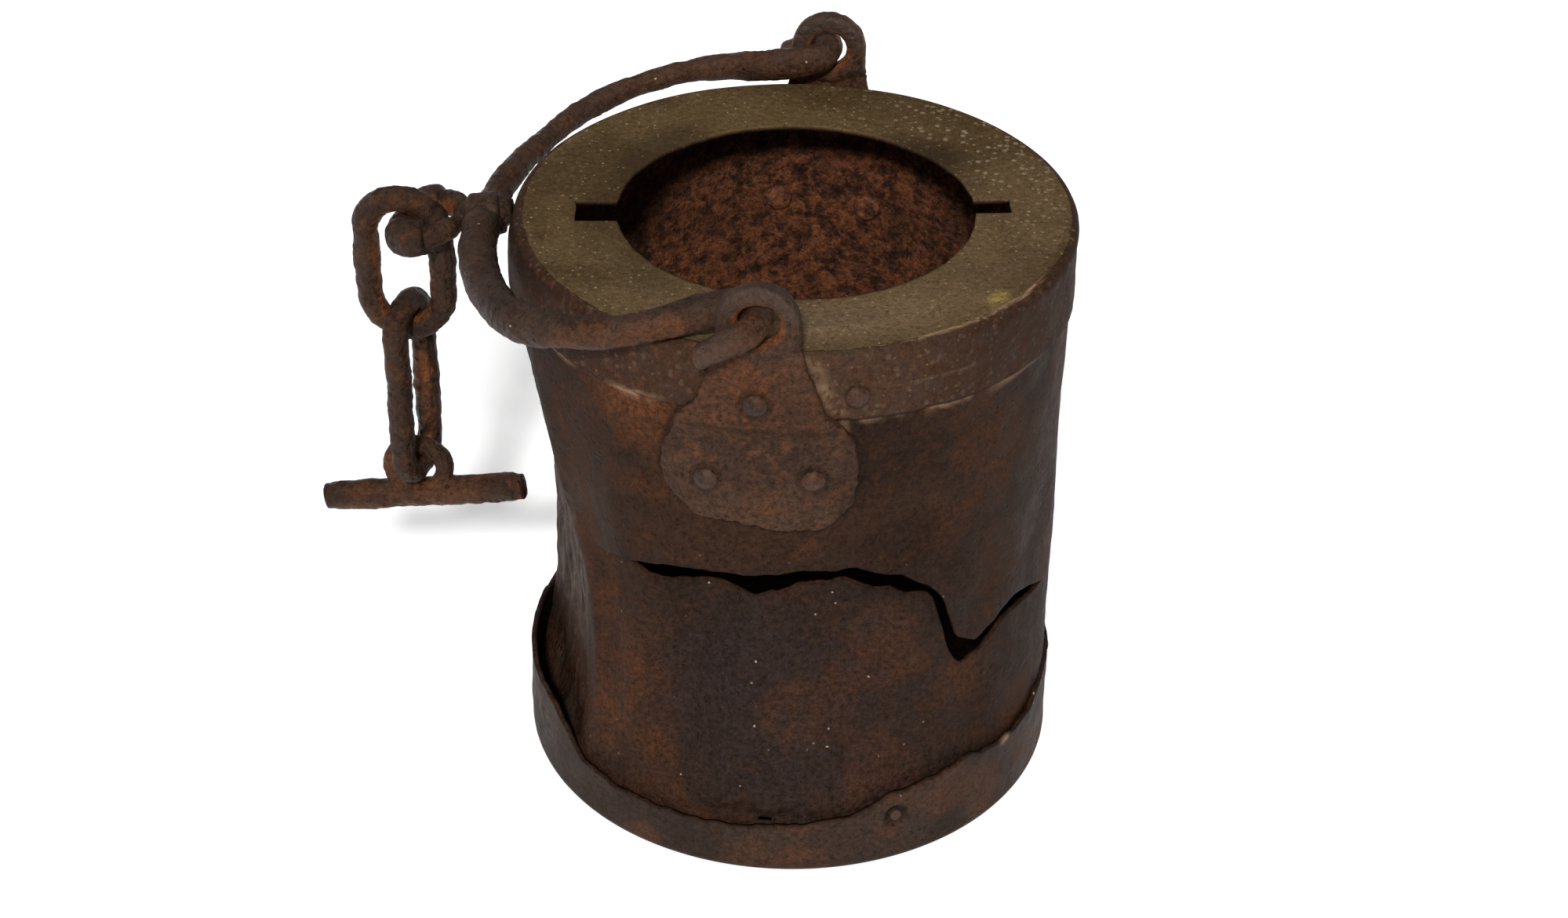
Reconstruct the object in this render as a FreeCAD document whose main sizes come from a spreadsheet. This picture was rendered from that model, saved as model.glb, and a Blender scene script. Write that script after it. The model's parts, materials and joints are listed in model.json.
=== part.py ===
import FreeCAD, Part

import math
import os
import re

import Sketcher
from FreeCAD import Placement, Rotation, Vector

# A riveted sheet-iron bucket with a swinging bail, a swivel, two chain links and a toggle bar.
#
# The bucket stands on the XY plane, its axis on Z and its mouth up. The two ears stand at -Y and +Y. The
# bail lies folded down on the -X side and the chain hangs from its middle. Angles round the bucket are
# counted from -Y towards +X. All sizes are in millimetres and degrees.

CELLS = {
    # Bucket
    "wall_radius": 99.0,
    "wall_thick": 1.8,
    "wall_foot": 4.6,
    "wall_head": 220.4,
    "plate_thick": 2.0,
    "plate_gap": 0.2,
    "top_height": 225.0,
    "top_flange_depth": 26.0,
    "top_fold_radius": 4.0,
    "bottom_fold_radius": 4.5,
    "inner_fold_radius": 2.0,
    "mouth_radius": 64.0,
    "slot_root": 57.6,
    "slot_angle": 9.4,
    "left_slot_width": 15.0,
    "left_slot_reach": 79.0,
    "right_slot_width": 10.5,
    "right_slot_reach": 77.0,
    "flange_height": 37.0,
    "seam_foot": 41.0,
    "seam_head": 196.0,
    "seam_angle": 140.0,
    "seam_sweep": 14.0,
    # Rivets
    "shank_radius": 2.4,
    "rivet_hole_radius": 2.5,
    "head_radius": 4.6,
    "head_height": 2.6,
    "inner_head_radius": 5.6,
    "inner_head_height": 1.6,
    "inner_head_top": 4.5,
    "neck_sink": 0.5,
    "neck_rise": 0.1,
    "seat_gap": 0.05,
    # Ears
    "ear_thick": 3.2,
    "ear_gap": 0.2,
    "ear_sweep": 60.0,
    "ear_foot": 158.0,
    "joggle_low": 192.0,
    "joggle_high": 197.0,
    "eye_height": 238.5,
    "eye_hole_radius": 7.0,
    "eye_rim_radius": 3.6,
    # Bail
    "bail_rod_radius": 5.3,
    "bail_tilt": 12.5,
    "hook_radius": 10.2,
    "hook_tail": 10.0,
    "neck_radius": 48.0,
    "shoulder_radius": 56.0,
    "shoulder_half": 99.3,
    "bow_radius": 139.5,
    "bow_centre_back": 23.8,
    "bow_centre_across": 0.6,
    "apex_radius": 41.4,
    "tip_rounding": 2.5,
    "boss_radius": 7.6,
    "boss_start": 109.6,
    "boss_end": 121.0,
    "bore_radius": 3.9,
    # Swivel
    "swivel_shank_radius": 3.8,
    "swivel_head_radius": 6.4,
    "swivel_head_top": 3.9,
    "swivel_head_height": 4.0,
    "swivel_sink": 2.0,
    "swivel_play": 0.35,
    "swivel_neck_radius": 6.6,
    "swivel_neck_end": 127.0,
    "swivel_ring_radius": 11.45,
    "swivel_back_rod": 3.4,
    "swivel_end_rod": 5.5,
    "swivel_back": 136.2,
    "swivel_reach": 147.9,
    # Chain
    "contact_gap": 0.3,
    "upper_rod": 4.8,
    "upper_half_width": 14.1,
    "upper_length": 53.8,
    "lower_rod": 4.8,
    "lower_half_width": 11.5,
    "lower_length": 72.2,
    "lower_yaw": 12.0,
    # Toggle
    "toggle_yaw": 1.0,
    "toggle_lift": 8.0,
    "toggle_eye_rod": 3.7,
    "toggle_gap": 0.8,
    "toggle_eye_radius": 10.0,
    "toggle_bar_radius": 5.9,
    "toggle_tip_radius": 5.6,
    "toggle_half_length": 40.0,
    "toggle_drop": 12.2,
}

TOP_RIVET_ANGLES = (18.6, 108.6, 198.6, 262.0)
TOP_RIVET_HEIGHT = 208.0
BOTTOM_RIVET_ANGLES = (30.0, 104.0, 155.0, 206.0, 257.0)
BOTTOM_RIVET_HEIGHT = 22.0
BROKEN_RIVET = "bottom_rivet_1"
SEAM_RIVET_HEIGHTS = (54.0, 86.0, 118.0, 150.0, 182.0)
EAR_RIVETS = (("upper", -0.4, 206.9), ("left", -10.1, 174.1), ("right", 10.5, 176.2))
EARS = (("front", 0.0), ("rear", 180.0))

# Half of an ear's outline seen from the front, from its foot up to the middle of the eye.
EAR_OUTLINE = ((20.0, 159.5), (30.0, 164.0), (34.5, 174.0), (31.5, 188.0), (27.0, 199.0))
EAR_OUTLINE += ((22.0, 205.0), (19.0, 212.0), (15.5, 221.0), (13.9, 226.5), (9.5, 229.0))

# The corners of a blank larger than an ear, from which its outline is cut.
EAR_BLANK = ((-80.0, 120.0), (80.0, 120.0), (80.0, 260.0), (-80.0, 260.0))

# What is worn off the upper edge of the front of the bottom plate's flange.
FLANGE_WEAR = ((-79.0, 39.0), (-69.0, 22.6), (-54.0, 20.8), (-14.0, 20.8), (19.0, 23.8), (34.0, 26.0))
FLANGE_WEAR += ((44.0, 29.4), (48.0, 33.8), (66.0, 35.6), (70.0, 39.0))

# The tear across the front: its upper edge from left to right, seen from -Y.
TEAR = ((-72.0, 122.0), (-52.0, 129.5), (-30.0, 134.5), (-8.0, 138.0), (12.0, 141.5), (33.0, 140.5))
TEAR += ((47.0, 134.0), (53.0, 119.0), (61.0, 103.0), (73.0, 96.0), (82.0, 96.0))
TEAR_GAP = 3.4

# Longer than any cut needs to be.
THROUGH = 300.0

pieces = []
doc = FreeCAD.newDocument("bucket")
sheet = doc.addObject("Spreadsheet::Sheet", "Sizes")
for row, (alias, number) in enumerate(CELLS.items(), start=1):
    sheet.set(f"A{row}", alias)
    sheet.set(f"B{row}", str(number))
    sheet.setAlias(f"B{row}", alias)
doc.recompute()


def bound(expression):
    """The expression as other objects write it, with the sheet's name before each alias."""
    return re.sub(r"[a-z]\w*", lambda word: "Sizes." * (word[0] in CELLS) + word[0], expression)


def worth(expression):
    """The number that an expression in the sheet's aliases gives."""
    found = sheet.evalExpression(expression)
    return float(getattr(found, "Value", found))


def outward(angle):
    """The level direction that points out of the bucket at this angle."""
    return Vector(math.sin(math.radians(angle)), -math.cos(math.radians(angle)), 0)


# Sketches and features


def new_body(label):
    body = doc.addObject("PartDesign::Body", label)
    body.Label = label
    pieces.append(body)
    return body


def plane_of(body, role):
    return next(feature for feature in body.Origin.OriginFeatures if feature.Role == role)


def new_sketch(body, role, angle=0.0, offset=Vector()):
    """A sketch on one of the body's own planes, turned about the bucket's axis by the angle."""
    sketch = body.newObject("Sketcher::SketchObject", "Outline")
    sketch.AttachmentSupport = [(plane_of(body, role), "")]
    sketch.MapMode = "FlatFace"
    turn_axis = Vector(0, 0, 1) if role == "XY_Plane" else Vector(0, 1, 0)
    sketch.AttachmentOffset = Placement(offset, Rotation(turn_axis, angle))
    return sketch


def constrain(sketch, kind, *terms):
    """Adds a constraint whose last term is an expression, and binds its size to the sheet."""
    *places, expression = terms
    index = sketch.addConstraint(Sketcher.Constraint(kind, *places, worth(expression)))
    sketch.setExpression(f"Constraints[{index}]", bound(expression))


def draw_outline(sketch, corners):
    """A closed outline of straight lines, each corner given as two expressions or numbers."""
    points = [Vector(worth(str(across)), worth(str(up)), 0) for across, up in corners]
    first = sketch.GeometryCount
    for start, end in zip(points, points[1:] + points[:1]):
        sketch.addGeometry(Part.LineSegment(start, end), False)
    for index, (across, up) in enumerate(corners):
        line = first + index
        before = first + (index - 1) % len(corners)
        sketch.addConstraint(Sketcher.Constraint("Coincident", before, 2, line, 1))
        constrain(sketch, "DistanceX", -1, 1, line, 1, str(across))
        constrain(sketch, "DistanceY", -1, 1, line, 1, str(up))


def draw_circle(sketch, across, up, radius):
    centre = Vector(worth(str(across)), worth(str(up)), 0)
    index = sketch.addGeometry(Part.Circle(centre, Vector(0, 0, 1), worth(radius)), False)
    constrain(sketch, "Radius", index, radius)
    constrain(sketch, "DistanceX", -1, 1, index, 3, str(across))
    constrain(sketch, "DistanceY", -1, 1, index, 3, str(up))


def revolve(body, corners, role="XZ_Plane", sweep=360.0, angle=0.0):
    """Turns an outline in radius and height about the Z axis, to both sides of the sketch."""
    sketch = new_sketch(body, role, angle)
    draw_outline(sketch, corners)
    turned = body.newObject("PartDesign::Revolution", "Turned")
    turned.Profile = sketch
    turned.ReferenceAxis = (sketch, ["V_Axis"])
    turned.Angle = sweep
    turned.Midplane = sweep < 360.0
    doc.recompute()
    return turned


def cut(body, sketch):
    """Cuts a sketch's outline through the body, along the sketch's normal."""
    before = body.Shape.Volume
    pocket = body.newObject("PartDesign::Pocket", "Cut")
    pocket.Profile = sketch
    pocket.Length = THROUGH
    pocket.Reversed = True
    doc.recompute()
    if not body.Shape.Volume < before:
        raise RuntimeError(f"{body.Label}: a cut took nothing away")


def cut_rivet_hole(body, angle, height):
    """A round hole through everything that lies outward of the axis at this angle and height."""
    sketch = new_sketch(body, "XZ_Plane", angle)
    draw_circle(sketch, 0, height, "rivet_hole_radius")
    cut(body, sketch)


def round_edges(body, radius, belongs):
    """Fillets the edges that the test picks."""
    picked = [f"Edge{number}" for number, edge in enumerate(body.Shape.Edges, start=1) if belongs(edge)]
    base = body.Tip
    fillet = body.newObject("PartDesign::Fillet", "Rounding")
    fillet.Base = (base, picked)
    fillet.setExpression("Radius", bound(radius))
    doc.recompute()


def is_ring(edge, radius, height):
    """Whether the edge is a circle about the Z axis with this radius and height."""
    if not isinstance(edge.Curve, Part.Circle):
        return False
    return abs(edge.Curve.Radius - radius) < 0.01 and abs(edge.Curve.Center.z - height) < 0.01


# Primitives


def primitive(kind, place=Placement(), **sizes):
    """A Part primitive whose sizes are expressions in the sheet's aliases."""
    made = doc.addObject("Part::" + kind, kind)
    for name, expression in sizes.items():
        made.setExpression(name, bound(str(expression)))
    made.Placement = place
    return made


def fuse(label, tools, place=Placement()):
    joined = doc.addObject("Part::MultiFuse", label)
    joined.Label = label
    joined.Shapes = tools
    joined.Refine = True
    joined.Placement = place
    pieces.append(joined)
    return joined


def at(across, deep, up, axis=Vector(0, 0, 1), angle=0.0):
    """A placement whose coordinates are expressions."""
    spot = Vector(worth(str(across)), worth(str(deep)), worth(str(up)))
    return Placement(spot, Rotation(axis, angle))


X_AXIS, Y_AXIS, Z_AXIS = Vector(1, 0, 0), Vector(0, 1, 0), Vector(0, 0, 1)
PLATE_RADIUS = "(wall_radius + plate_gap + plate_thick)"
INNER_RADIUS = "(wall_radius - wall_thick)"


# Bucket


def make_top_plate():
    """The ring-shaped top with its flange turned down, the slots at its mouth and its rivet holes."""
    body = new_body("top_plate")
    flange_foot = "top_height - top_flange_depth"
    underside = "top_height - plate_thick"
    flange_inside = "wall_radius + plate_gap"
    corners = [("mouth_radius", "top_height"), (PLATE_RADIUS, "top_height"), (PLATE_RADIUS, flange_foot)]
    corners += [(flange_inside, flange_foot), (flange_inside, underside), ("mouth_radius", underside)]
    revolve(body, corners)
    outer, top = worth(PLATE_RADIUS), worth("top_height")
    round_edges(body, "top_fold_radius", lambda edge: is_ring(edge, outer, top))
    inner, low = worth(flange_inside), worth(underside)
    round_edges(body, "inner_fold_radius", lambda edge: is_ring(edge, inner, low))

    for side, name in ((-1, "left"), (1, "right")):
        sketch = new_sketch(body, "XY_Plane", worth("slot_angle"))
        near, far = f"{side} * slot_root", f"{side} * {name}_slot_reach"
        half = f"{name}_slot_width / 2"
        draw_outline(sketch, [(near, "-" + half), (far, "-" + half), (far, half), (near, half)])
        cut(body, sketch)
    for angle in TOP_RIVET_ANGLES:
        cut_rivet_hole(body, angle, TOP_RIVET_HEIGHT)
    for _, turn in EARS:
        cut_rivet_hole(body, turn + EAR_RIVETS[0][1], EAR_RIVETS[0][2])


def make_bottom_plate():
    """The round bottom with its flange turned up outside the wall, worn low across the front."""
    body = new_body("bottom_plate")
    inner = "wall_radius + plate_gap"
    corners = [(0, 0), (PLATE_RADIUS, 0), (PLATE_RADIUS, "flange_height"), (inner, "flange_height")]
    corners += [(inner, "plate_thick"), (0, "plate_thick")]
    revolve(body, corners)
    outside, inside, floor = worth(PLATE_RADIUS), worth(inner), worth("plate_thick")
    round_edges(body, "bottom_fold_radius", lambda edge: is_ring(edge, outside, 0))
    round_edges(body, "inner_fold_radius", lambda edge: is_ring(edge, inside, floor))
    sketch = new_sketch(body, "XZ_Plane")
    draw_outline(sketch, FLANGE_WEAR)
    cut(body, sketch)
    for angle in BOTTOM_RIVET_ANGLES:
        cut_rivet_hole(body, angle, BOTTOM_RIVET_HEIGHT)


def make_wall():
    """The rolled wall with its riveted lap seam, torn open across the front."""
    body = new_body("body_shell")
    corners = [(INNER_RADIUS, "wall_foot"), ("wall_radius", "wall_foot"), ("wall_radius", "wall_head")]
    corners += [(INNER_RADIUS, "wall_head")]
    revolve(body, corners)
    lap_inside = "wall_radius - wall_thick / 2"
    lap_outside = "wall_radius + wall_thick"
    lap = [(lap_inside, "seam_foot"), (lap_outside, "seam_foot"), (lap_outside, "seam_head")]
    lap += [(lap_inside, "seam_head")]
    revolve(body, lap, "YZ_Plane", worth("seam_sweep"), worth("seam_angle") - 180.0)
    sketch = new_sketch(body, "XZ_Plane")
    lower_edge = [(across, up - TEAR_GAP) for across, up in reversed(TEAR[1:-1])]
    draw_outline(sketch, list(TEAR) + lower_edge)
    cut(body, sketch)
    for angle in TOP_RIVET_ANGLES:
        cut_rivet_hole(body, angle, TOP_RIVET_HEIGHT)
    for angle in BOTTOM_RIVET_ANGLES:
        cut_rivet_hole(body, angle, BOTTOM_RIVET_HEIGHT)
    for height in SEAM_RIVET_HEIGHTS:
        cut_rivet_hole(body, worth("seam_angle"), height)
    for _, turn in EARS:
        for _, angle, height in EAR_RIVETS:
            cut_rivet_hole(body, turn + angle, height)


def make_ear(name, turn):
    """A flat ear bent to the wall, stepped out over the flange, with a thick round eye on top."""
    body = new_body(f"{name}_ear")
    low_inside = "wall_radius + ear_gap"
    high_inside = PLATE_RADIUS + " + ear_gap"
    low_outside, high_outside = low_inside + " + ear_thick", high_inside + " + ear_thick"
    corners = [(low_inside, "ear_foot"), (low_outside, "ear_foot"), (low_outside, "joggle_low")]
    corners += [(high_outside, "joggle_high"), (high_outside, "eye_height"), (high_inside, "eye_height")]
    corners += [(high_inside, "joggle_high"), (low_inside, "joggle_low")]
    revolve(body, [(f"-({across})", up) for across, up in corners], "YZ_Plane", worth("ear_sweep"))

    sketch = new_sketch(body, "XZ_Plane")
    draw_outline(sketch, EAR_BLANK)
    left_side = [(-across, up) for across, up in reversed(EAR_OUTLINE)]
    draw_outline(sketch, list(EAR_OUTLINE) + left_side)
    cut(body, sketch)

    ring = body.newObject("PartDesign::AdditiveTorus", "Eye")
    ring.AttachmentSupport = [(plane_of(body, "XZ_Plane"), "")]
    ring.MapMode = "FlatFace"
    ring.AttachmentOffset = at(0, "eye_height", high_inside + " + ear_thick / 2")
    ring.setExpression("Radius1", bound("eye_hole_radius + eye_rim_radius"))
    ring.setExpression("Radius2", bound("eye_rim_radius"))
    doc.recompute()
    for _, angle, height in EAR_RIVETS:
        cut_rivet_hole(body, angle, height)
    body.Placement = Placement(Vector(), Rotation(Z_AXIS, turn))


# Rivets


def make_rivet(label, angle, height, outside):
    """A rivet through the wall and what lies on it: low dome outside, wide flat head inside."""
    dome_radius = "((head_radius ^ 2 + head_height ^ 2) / (2 * head_height))"
    inner_seat = f"sqrt({INNER_RADIUS} ^ 2 - inner_head_radius ^ 2) - {outside} - 2 * seat_gap"
    shank = primitive("Cylinder", at(0, 0, inner_seat), Radius="shank_radius", Height=f"-({inner_seat})")
    inner_place = at(0, 0, f"{inner_seat} - inner_head_height")
    inner_head = primitive("Cone", inner_place, Radius1="inner_head_top",
                           Radius2="inner_head_radius", Height="inner_head_height")
    tools = [shank, inner_head]
    if label != BROKEN_RIVET:
        neck = primitive("Cylinder", at(0, 0, "-neck_sink"), Radius="shank_radius",
                         Height="neck_sink + seat_gap + neck_rise")
        dome_place = at(0, 0, f"seat_gap + head_height - {dome_radius}")
        dome = primitive("Sphere", dome_place, Radius=dome_radius,
                         Angle1=f"asin(1 - head_height / {dome_radius})", Angle2="90")
        tools += [neck, dome]
    seat = outward(angle) * worth(outside) + Vector(0, 0, height)
    fuse(label, tools, Placement(seat, Rotation(Z_AXIS, outward(angle))))


def make_rivets():
    ear_low_face = "(wall_radius + ear_gap + ear_thick)"
    ear_high_face = f"({PLATE_RADIUS} + ear_gap + ear_thick)"
    for name, turn in EARS:
        for place, angle, height in EAR_RIVETS:
            face = ear_high_face if place == "upper" else ear_low_face
            make_rivet(f"{name}_ear_{place}_rivet", turn + angle, height, face)
    for number, angle in enumerate(TOP_RIVET_ANGLES, start=1):
        make_rivet(f"top_rivet_{number}", angle, TOP_RIVET_HEIGHT, PLATE_RADIUS)
    for number, angle in enumerate(BOTTOM_RIVET_ANGLES, start=1):
        make_rivet(f"bottom_rivet_{number}", angle, BOTTOM_RIVET_HEIGHT, PLATE_RADIUS)
    for number, height in enumerate(SEAM_RIVET_HEIGHTS, start=1):
        make_rivet(f"seam_rivet_{number}", worth("seam_angle"), height, "(wall_radius + wall_thick)")


# Bail and swivel, drawn with X pointing from the hinge axis to the middle of the bow


def bail_place():
    tilt = Rotation(Y_AXIS, -worth("bail_tilt"))
    return Placement(Vector(0, 0, worth("eye_height")), tilt.multiply(Rotation(Z_AXIS, 180)))


def arc_between(centre, start, end, clockwise):
    """An arc and the numbers of its ends, in the order in which the rod follows them."""
    first = math.atan2(start.y - centre.y, start.x - centre.x)
    last = math.atan2(end.y - centre.y, end.x - centre.x)
    circle = Part.Circle(centre, Z_AXIS, (start - centre).Length)
    if clockwise:
        return Part.ArcOfCircle(circle, last, first if first > last else first + 2 * math.pi), 2, 1
    return Part.ArcOfCircle(circle, first, last if last > first else last + 2 * math.pi), 1, 2


def bail_route():
    """Half of the rod's centreline, from its tip round the hook to the middle of the bow."""
    hook, tail = worth("hook_radius"), worth("hook_tail")
    neck, shoulder = worth("neck_radius"), worth("shoulder_radius")
    bow, apex = worth("bow_radius"), worth("apex_radius")
    hook_centre = Vector(hook, worth(PLATE_RADIUS + " + ear_gap + ear_thick / 2"), 0)
    bow_centre = Vector(-worth("bow_centre_back"), -worth("bow_centre_across"), 0)
    apex_centre = Vector(bow_centre.x + math.sqrt((bow - apex) ** 2 - bow_centre.y ** 2), 0, 0)
    shoulder_y = worth("shoulder_half") - shoulder
    reach = math.sqrt((bow - shoulder) ** 2 - (shoulder_y - bow_centre.y) ** 2)
    shoulder_centre = Vector(bow_centre.x + reach, shoulder_y, 0)
    root_y = hook_centre.y - hook
    neck_y = root_y + neck
    run = math.sqrt((neck + shoulder) ** 2 - (neck_y - shoulder_y) ** 2)
    neck_centre = Vector(shoulder_centre.x - run, neck_y, 0)

    tip = hook_centre + Vector(tail, hook, 0)
    hook_start = hook_centre + Vector(0, hook, 0)
    hook_end = hook_centre - Vector(0, hook, 0)
    neck_start = Vector(neck_centre.x, root_y, 0)
    neck_end = neck_centre + (shoulder_centre - neck_centre).normalize() * neck
    shoulder_end = bow_centre + (shoulder_centre - bow_centre).normalize() * bow
    bow_end = bow_centre + (apex_centre - bow_centre).normalize() * bow
    middle = apex_centre + Vector(apex, 0, 0)
    return [
        (Part.LineSegment(tip, hook_start), 1, 2, None),
        (*arc_between(hook_centre, hook_start, hook_end, False), "hook_radius"),
        (Part.LineSegment(hook_end, neck_start), 1, 2, None),
        (*arc_between(neck_centre, neck_start, neck_end, False), "neck_radius"),
        (*arc_between(shoulder_centre, neck_end, shoulder_end, True), "shoulder_radius"),
        (*arc_between(bow_centre, shoulder_end, bow_end, True), "bow_radius"),
        (*arc_between(apex_centre, bow_end, middle, True), "apex_radius"),
    ]


def mirrored(route):
    """The same route on the other side of the X axis, followed back from the middle to the tip."""
    across = FreeCAD.Matrix(1, 0, 0, 0, 0, -1, 0, 0, 0, 0, 1, 0, 0, 0, 0, 1)
    other = []
    for curve, start, end, radius in reversed(route):
        if radius is None:
            flipped = Part.LineSegment(across * curve.EndPoint, across * curve.StartPoint)
            other.append((flipped, 1, 2, None))
            continue
        ends = {1: curve.StartPoint, 2: curve.EndPoint}
        clockwise = start == 2
        centre = across * curve.Center
        arc = arc_between(centre, across * ends[end], across * ends[start], clockwise)
        other.append((*arc, radius))
    return other


def make_bail():
    """A round rod bent to a bow, with a boss at its middle and an open hook through each ear."""
    body = new_body("bail")
    path = new_sketch(body, "XY_Plane")
    route = bail_route()
    route += mirrored(route)
    for index, (curve, start, _, radius) in enumerate(route):
        path.addGeometry(curve, False)
        if index:
            last_end = route[index - 1][2]
            path.addConstraint(Sketcher.Constraint("Tangent", index - 1, last_end, index, start))
        if radius:
            constrain(path, "Radius", index, radius)
    tip = route[0][0].StartPoint
    section = new_sketch(body, "YZ_Plane", offset=Vector(0, 0, tip.x))
    draw_circle(section, tip.y, 0, "bail_rod_radius")
    rod = body.newObject("PartDesign::AdditivePipe", "Rod")
    rod.Profile = section
    rod.Spine = (path, [f"Edge{number}" for number in range(1, len(route) + 1)])
    doc.recompute()
    rod_radius = worth("bail_rod_radius")

    def at_tip(edge):
        round_edge = isinstance(edge.Curve, Part.Circle) and abs(edge.Curve.Radius - rod_radius) < 0.01
        return round_edge and abs(edge.CenterOfMass.x - tip.x) < 0.01

    round_edges(body, "tip_rounding", at_tip)
    sketch = new_sketch(body, "YZ_Plane", offset=Vector(0, 0, worth("boss_start")))
    draw_circle(sketch, 0, 0, "boss_radius")
    boss = body.newObject("PartDesign::Pad", "Boss")
    boss.Profile = sketch
    boss.setExpression("Length", bound("boss_end - boss_start"))
    doc.recompute()
    sketch = new_sketch(body, "YZ_Plane", offset=Vector(0, 0, worth("boss_start")))
    draw_circle(sketch, 0, 0, "bore_radius")
    cut(body, sketch)
    body.Placement = bail_place()


def make_swivel():
    """An eye on a shank that turns in the boss, held by a head inside the bow."""
    head_face = "(boss_start - swivel_play)"
    neck_face = "(boss_end + swivel_play)"
    shank = primitive("Cylinder", at(head_face + " - swivel_sink", 0, 0, Y_AXIS, 90),
                      Radius="swivel_shank_radius", Height=f"{neck_face} - {head_face} + 2 * swivel_sink")
    head = primitive("Cone", at(f"{head_face} - swivel_head_height", 0, 0, Y_AXIS, 90),
                     Radius1="swivel_head_top", Radius2="swivel_head_radius",
                     Height="swivel_head_height")
    neck = primitive("Cone", at(neck_face, 0, 0, Y_AXIS, 90), Radius1="swivel_neck_radius",
                     Radius2="swivel_back_rod", Height=f"swivel_neck_end - {neck_face}")
    end_centre = "(swivel_reach - swivel_ring_radius)"
    end = primitive("Torus", at(end_centre, 0, 0, Z_AXIS, -90), Radius1="swivel_ring_radius",
                    Radius2="swivel_end_rod", Angle3="180")
    back = primitive("Torus", at("swivel_back", 0, 0, Z_AXIS, 90), Radius1="swivel_ring_radius",
                     Radius2="swivel_back_rod", Angle3="180")
    legs = []
    for side in ("-swivel_ring_radius", "swivel_ring_radius"):
        legs.append(primitive("Cone", at("swivel_back", side, 0, Y_AXIS, 90), Radius1="swivel_back_rod",
                              Radius2="swivel_end_rod", Height=f"{end_centre} - swivel_back"))
    fuse("swivel", [shank, head, neck, end, back, *legs], bail_place())


# Chain and toggle


def make_link(label, name, spot, yaw):
    """A long link with round ends, standing in the XZ plane before it is turned by its yaw."""
    rise = f"({name}_length / 2 - {name}_half_width)"
    tools = []
    for angle, height in ((90, rise), (-90, "-" + rise)):
        tools.append(primitive("Torus", at(0, 0, height, X_AXIS, angle), Radius1=f"{name}_half_width",
                               Radius2=f"{name}_rod", Angle3="180"))
    for side in ("-", ""):
        tools.append(primitive("Cylinder", at(f"{side}{name}_half_width", 0, "-" + rise),
                               Radius=f"{name}_rod", Height=f"2 * {rise}"))
    fuse(label, tools, Placement(spot, Rotation(Z_AXIS, yaw)))


def make_toggle(spot):
    """A bar with rounded ends and an eye at its middle, hung at the spot where it swings."""
    eye_drop = "(toggle_eye_radius - lower_rod - toggle_eye_rod - toggle_gap)"
    eye = primitive("Torus", at(0, 0, f"-{eye_drop}", X_AXIS, 90), Radius1="toggle_eye_radius",
                    Radius2="toggle_eye_rod")
    tools = [eye]
    for side in (-1, 1):
        tools.append(primitive("Cone", at(0, 0, "-toggle_drop", Y_AXIS, 90 * side),
                               Radius1="toggle_bar_radius", Radius2="toggle_tip_radius",
                               Height="toggle_half_length - toggle_tip_radius"))
        tip_centre = f"{side} * (toggle_half_length - toggle_tip_radius)"
        tools.append(primitive("Sphere", at(tip_centre, 0, "-toggle_drop"), Radius="toggle_tip_radius"))
    lift = Rotation(Y_AXIS, -worth("toggle_lift"))
    fuse("toggle", tools, Placement(spot, Rotation(Z_AXIS, worth("toggle_yaw")).multiply(lift)))


def make_chain():
    """The two links and the toggle, each hanging from the wire above it."""
    tilt = math.radians(worth("bail_tilt"))
    reach = worth("swivel_reach")
    wire = Vector(-reach * math.cos(tilt), 0, worth("eye_height") - reach * math.sin(tilt))
    print("swivel wire", [round(value, 2) for value in wire])
    upper_top = wire.z + worth("swivel_end_rod + upper_rod + contact_gap")
    make_link("upper_link", "upper", Vector(wire.x, 0, upper_top - worth("upper_length") / 2), 0)
    wire.z = upper_top - worth("upper_length")
    print("upper link wire", [round(value, 2) for value in wire])
    lower_top = wire.z + worth("upper_rod + lower_rod + contact_gap")
    lower_spot = Vector(wire.x, 0, lower_top - worth("lower_length") / 2)
    make_link("lower_link", "lower", lower_spot, 90 - worth("lower_yaw"))
    wire.z = lower_top - worth("lower_length")
    print("lower link wire", [round(value, 2) for value in wire])
    make_toggle(wire)


make_top_plate()
make_bottom_plate()
make_wall()
for ear_name, ear_turn in EARS:
    make_ear(ear_name, ear_turn)
make_rivets()
make_bail()
make_swivel()
make_chain()
doc.recompute()

for item in doc.Objects:
    if "Invalid" in item.State or "Error" in item.State:
        raise RuntimeError(f"{item.Label} failed: {item.State}")
os.makedirs("parts", exist_ok=True)
for piece in pieces:
    shape = piece.Shape
    if shape.isNull() or not shape.isValid() or len(shape.Solids) != 1:
        raise RuntimeError(f"{piece.Label} isn't one sound solid")
for piece in pieces:
    piece.Shape.exportStep(f"parts/{piece.Label}.step")
    print(f"{piece.Label}: {piece.Shape.Volume:.1f} cubic millimetres")
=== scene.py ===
"""A rusted, dented sheet-iron bucket with its bail, swivel, chain and toggle, on a pale floor.

Shapes are worked out in millimetres and turned into metres when a mesh is made. Angles round the bucket
are in degrees, counted from -Y towards +X, as in the CAD model.
"""

import json
import math
from itertools import product

import bmesh
import bpy
import numpy as np
from mathutils import Matrix, Vector


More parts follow.
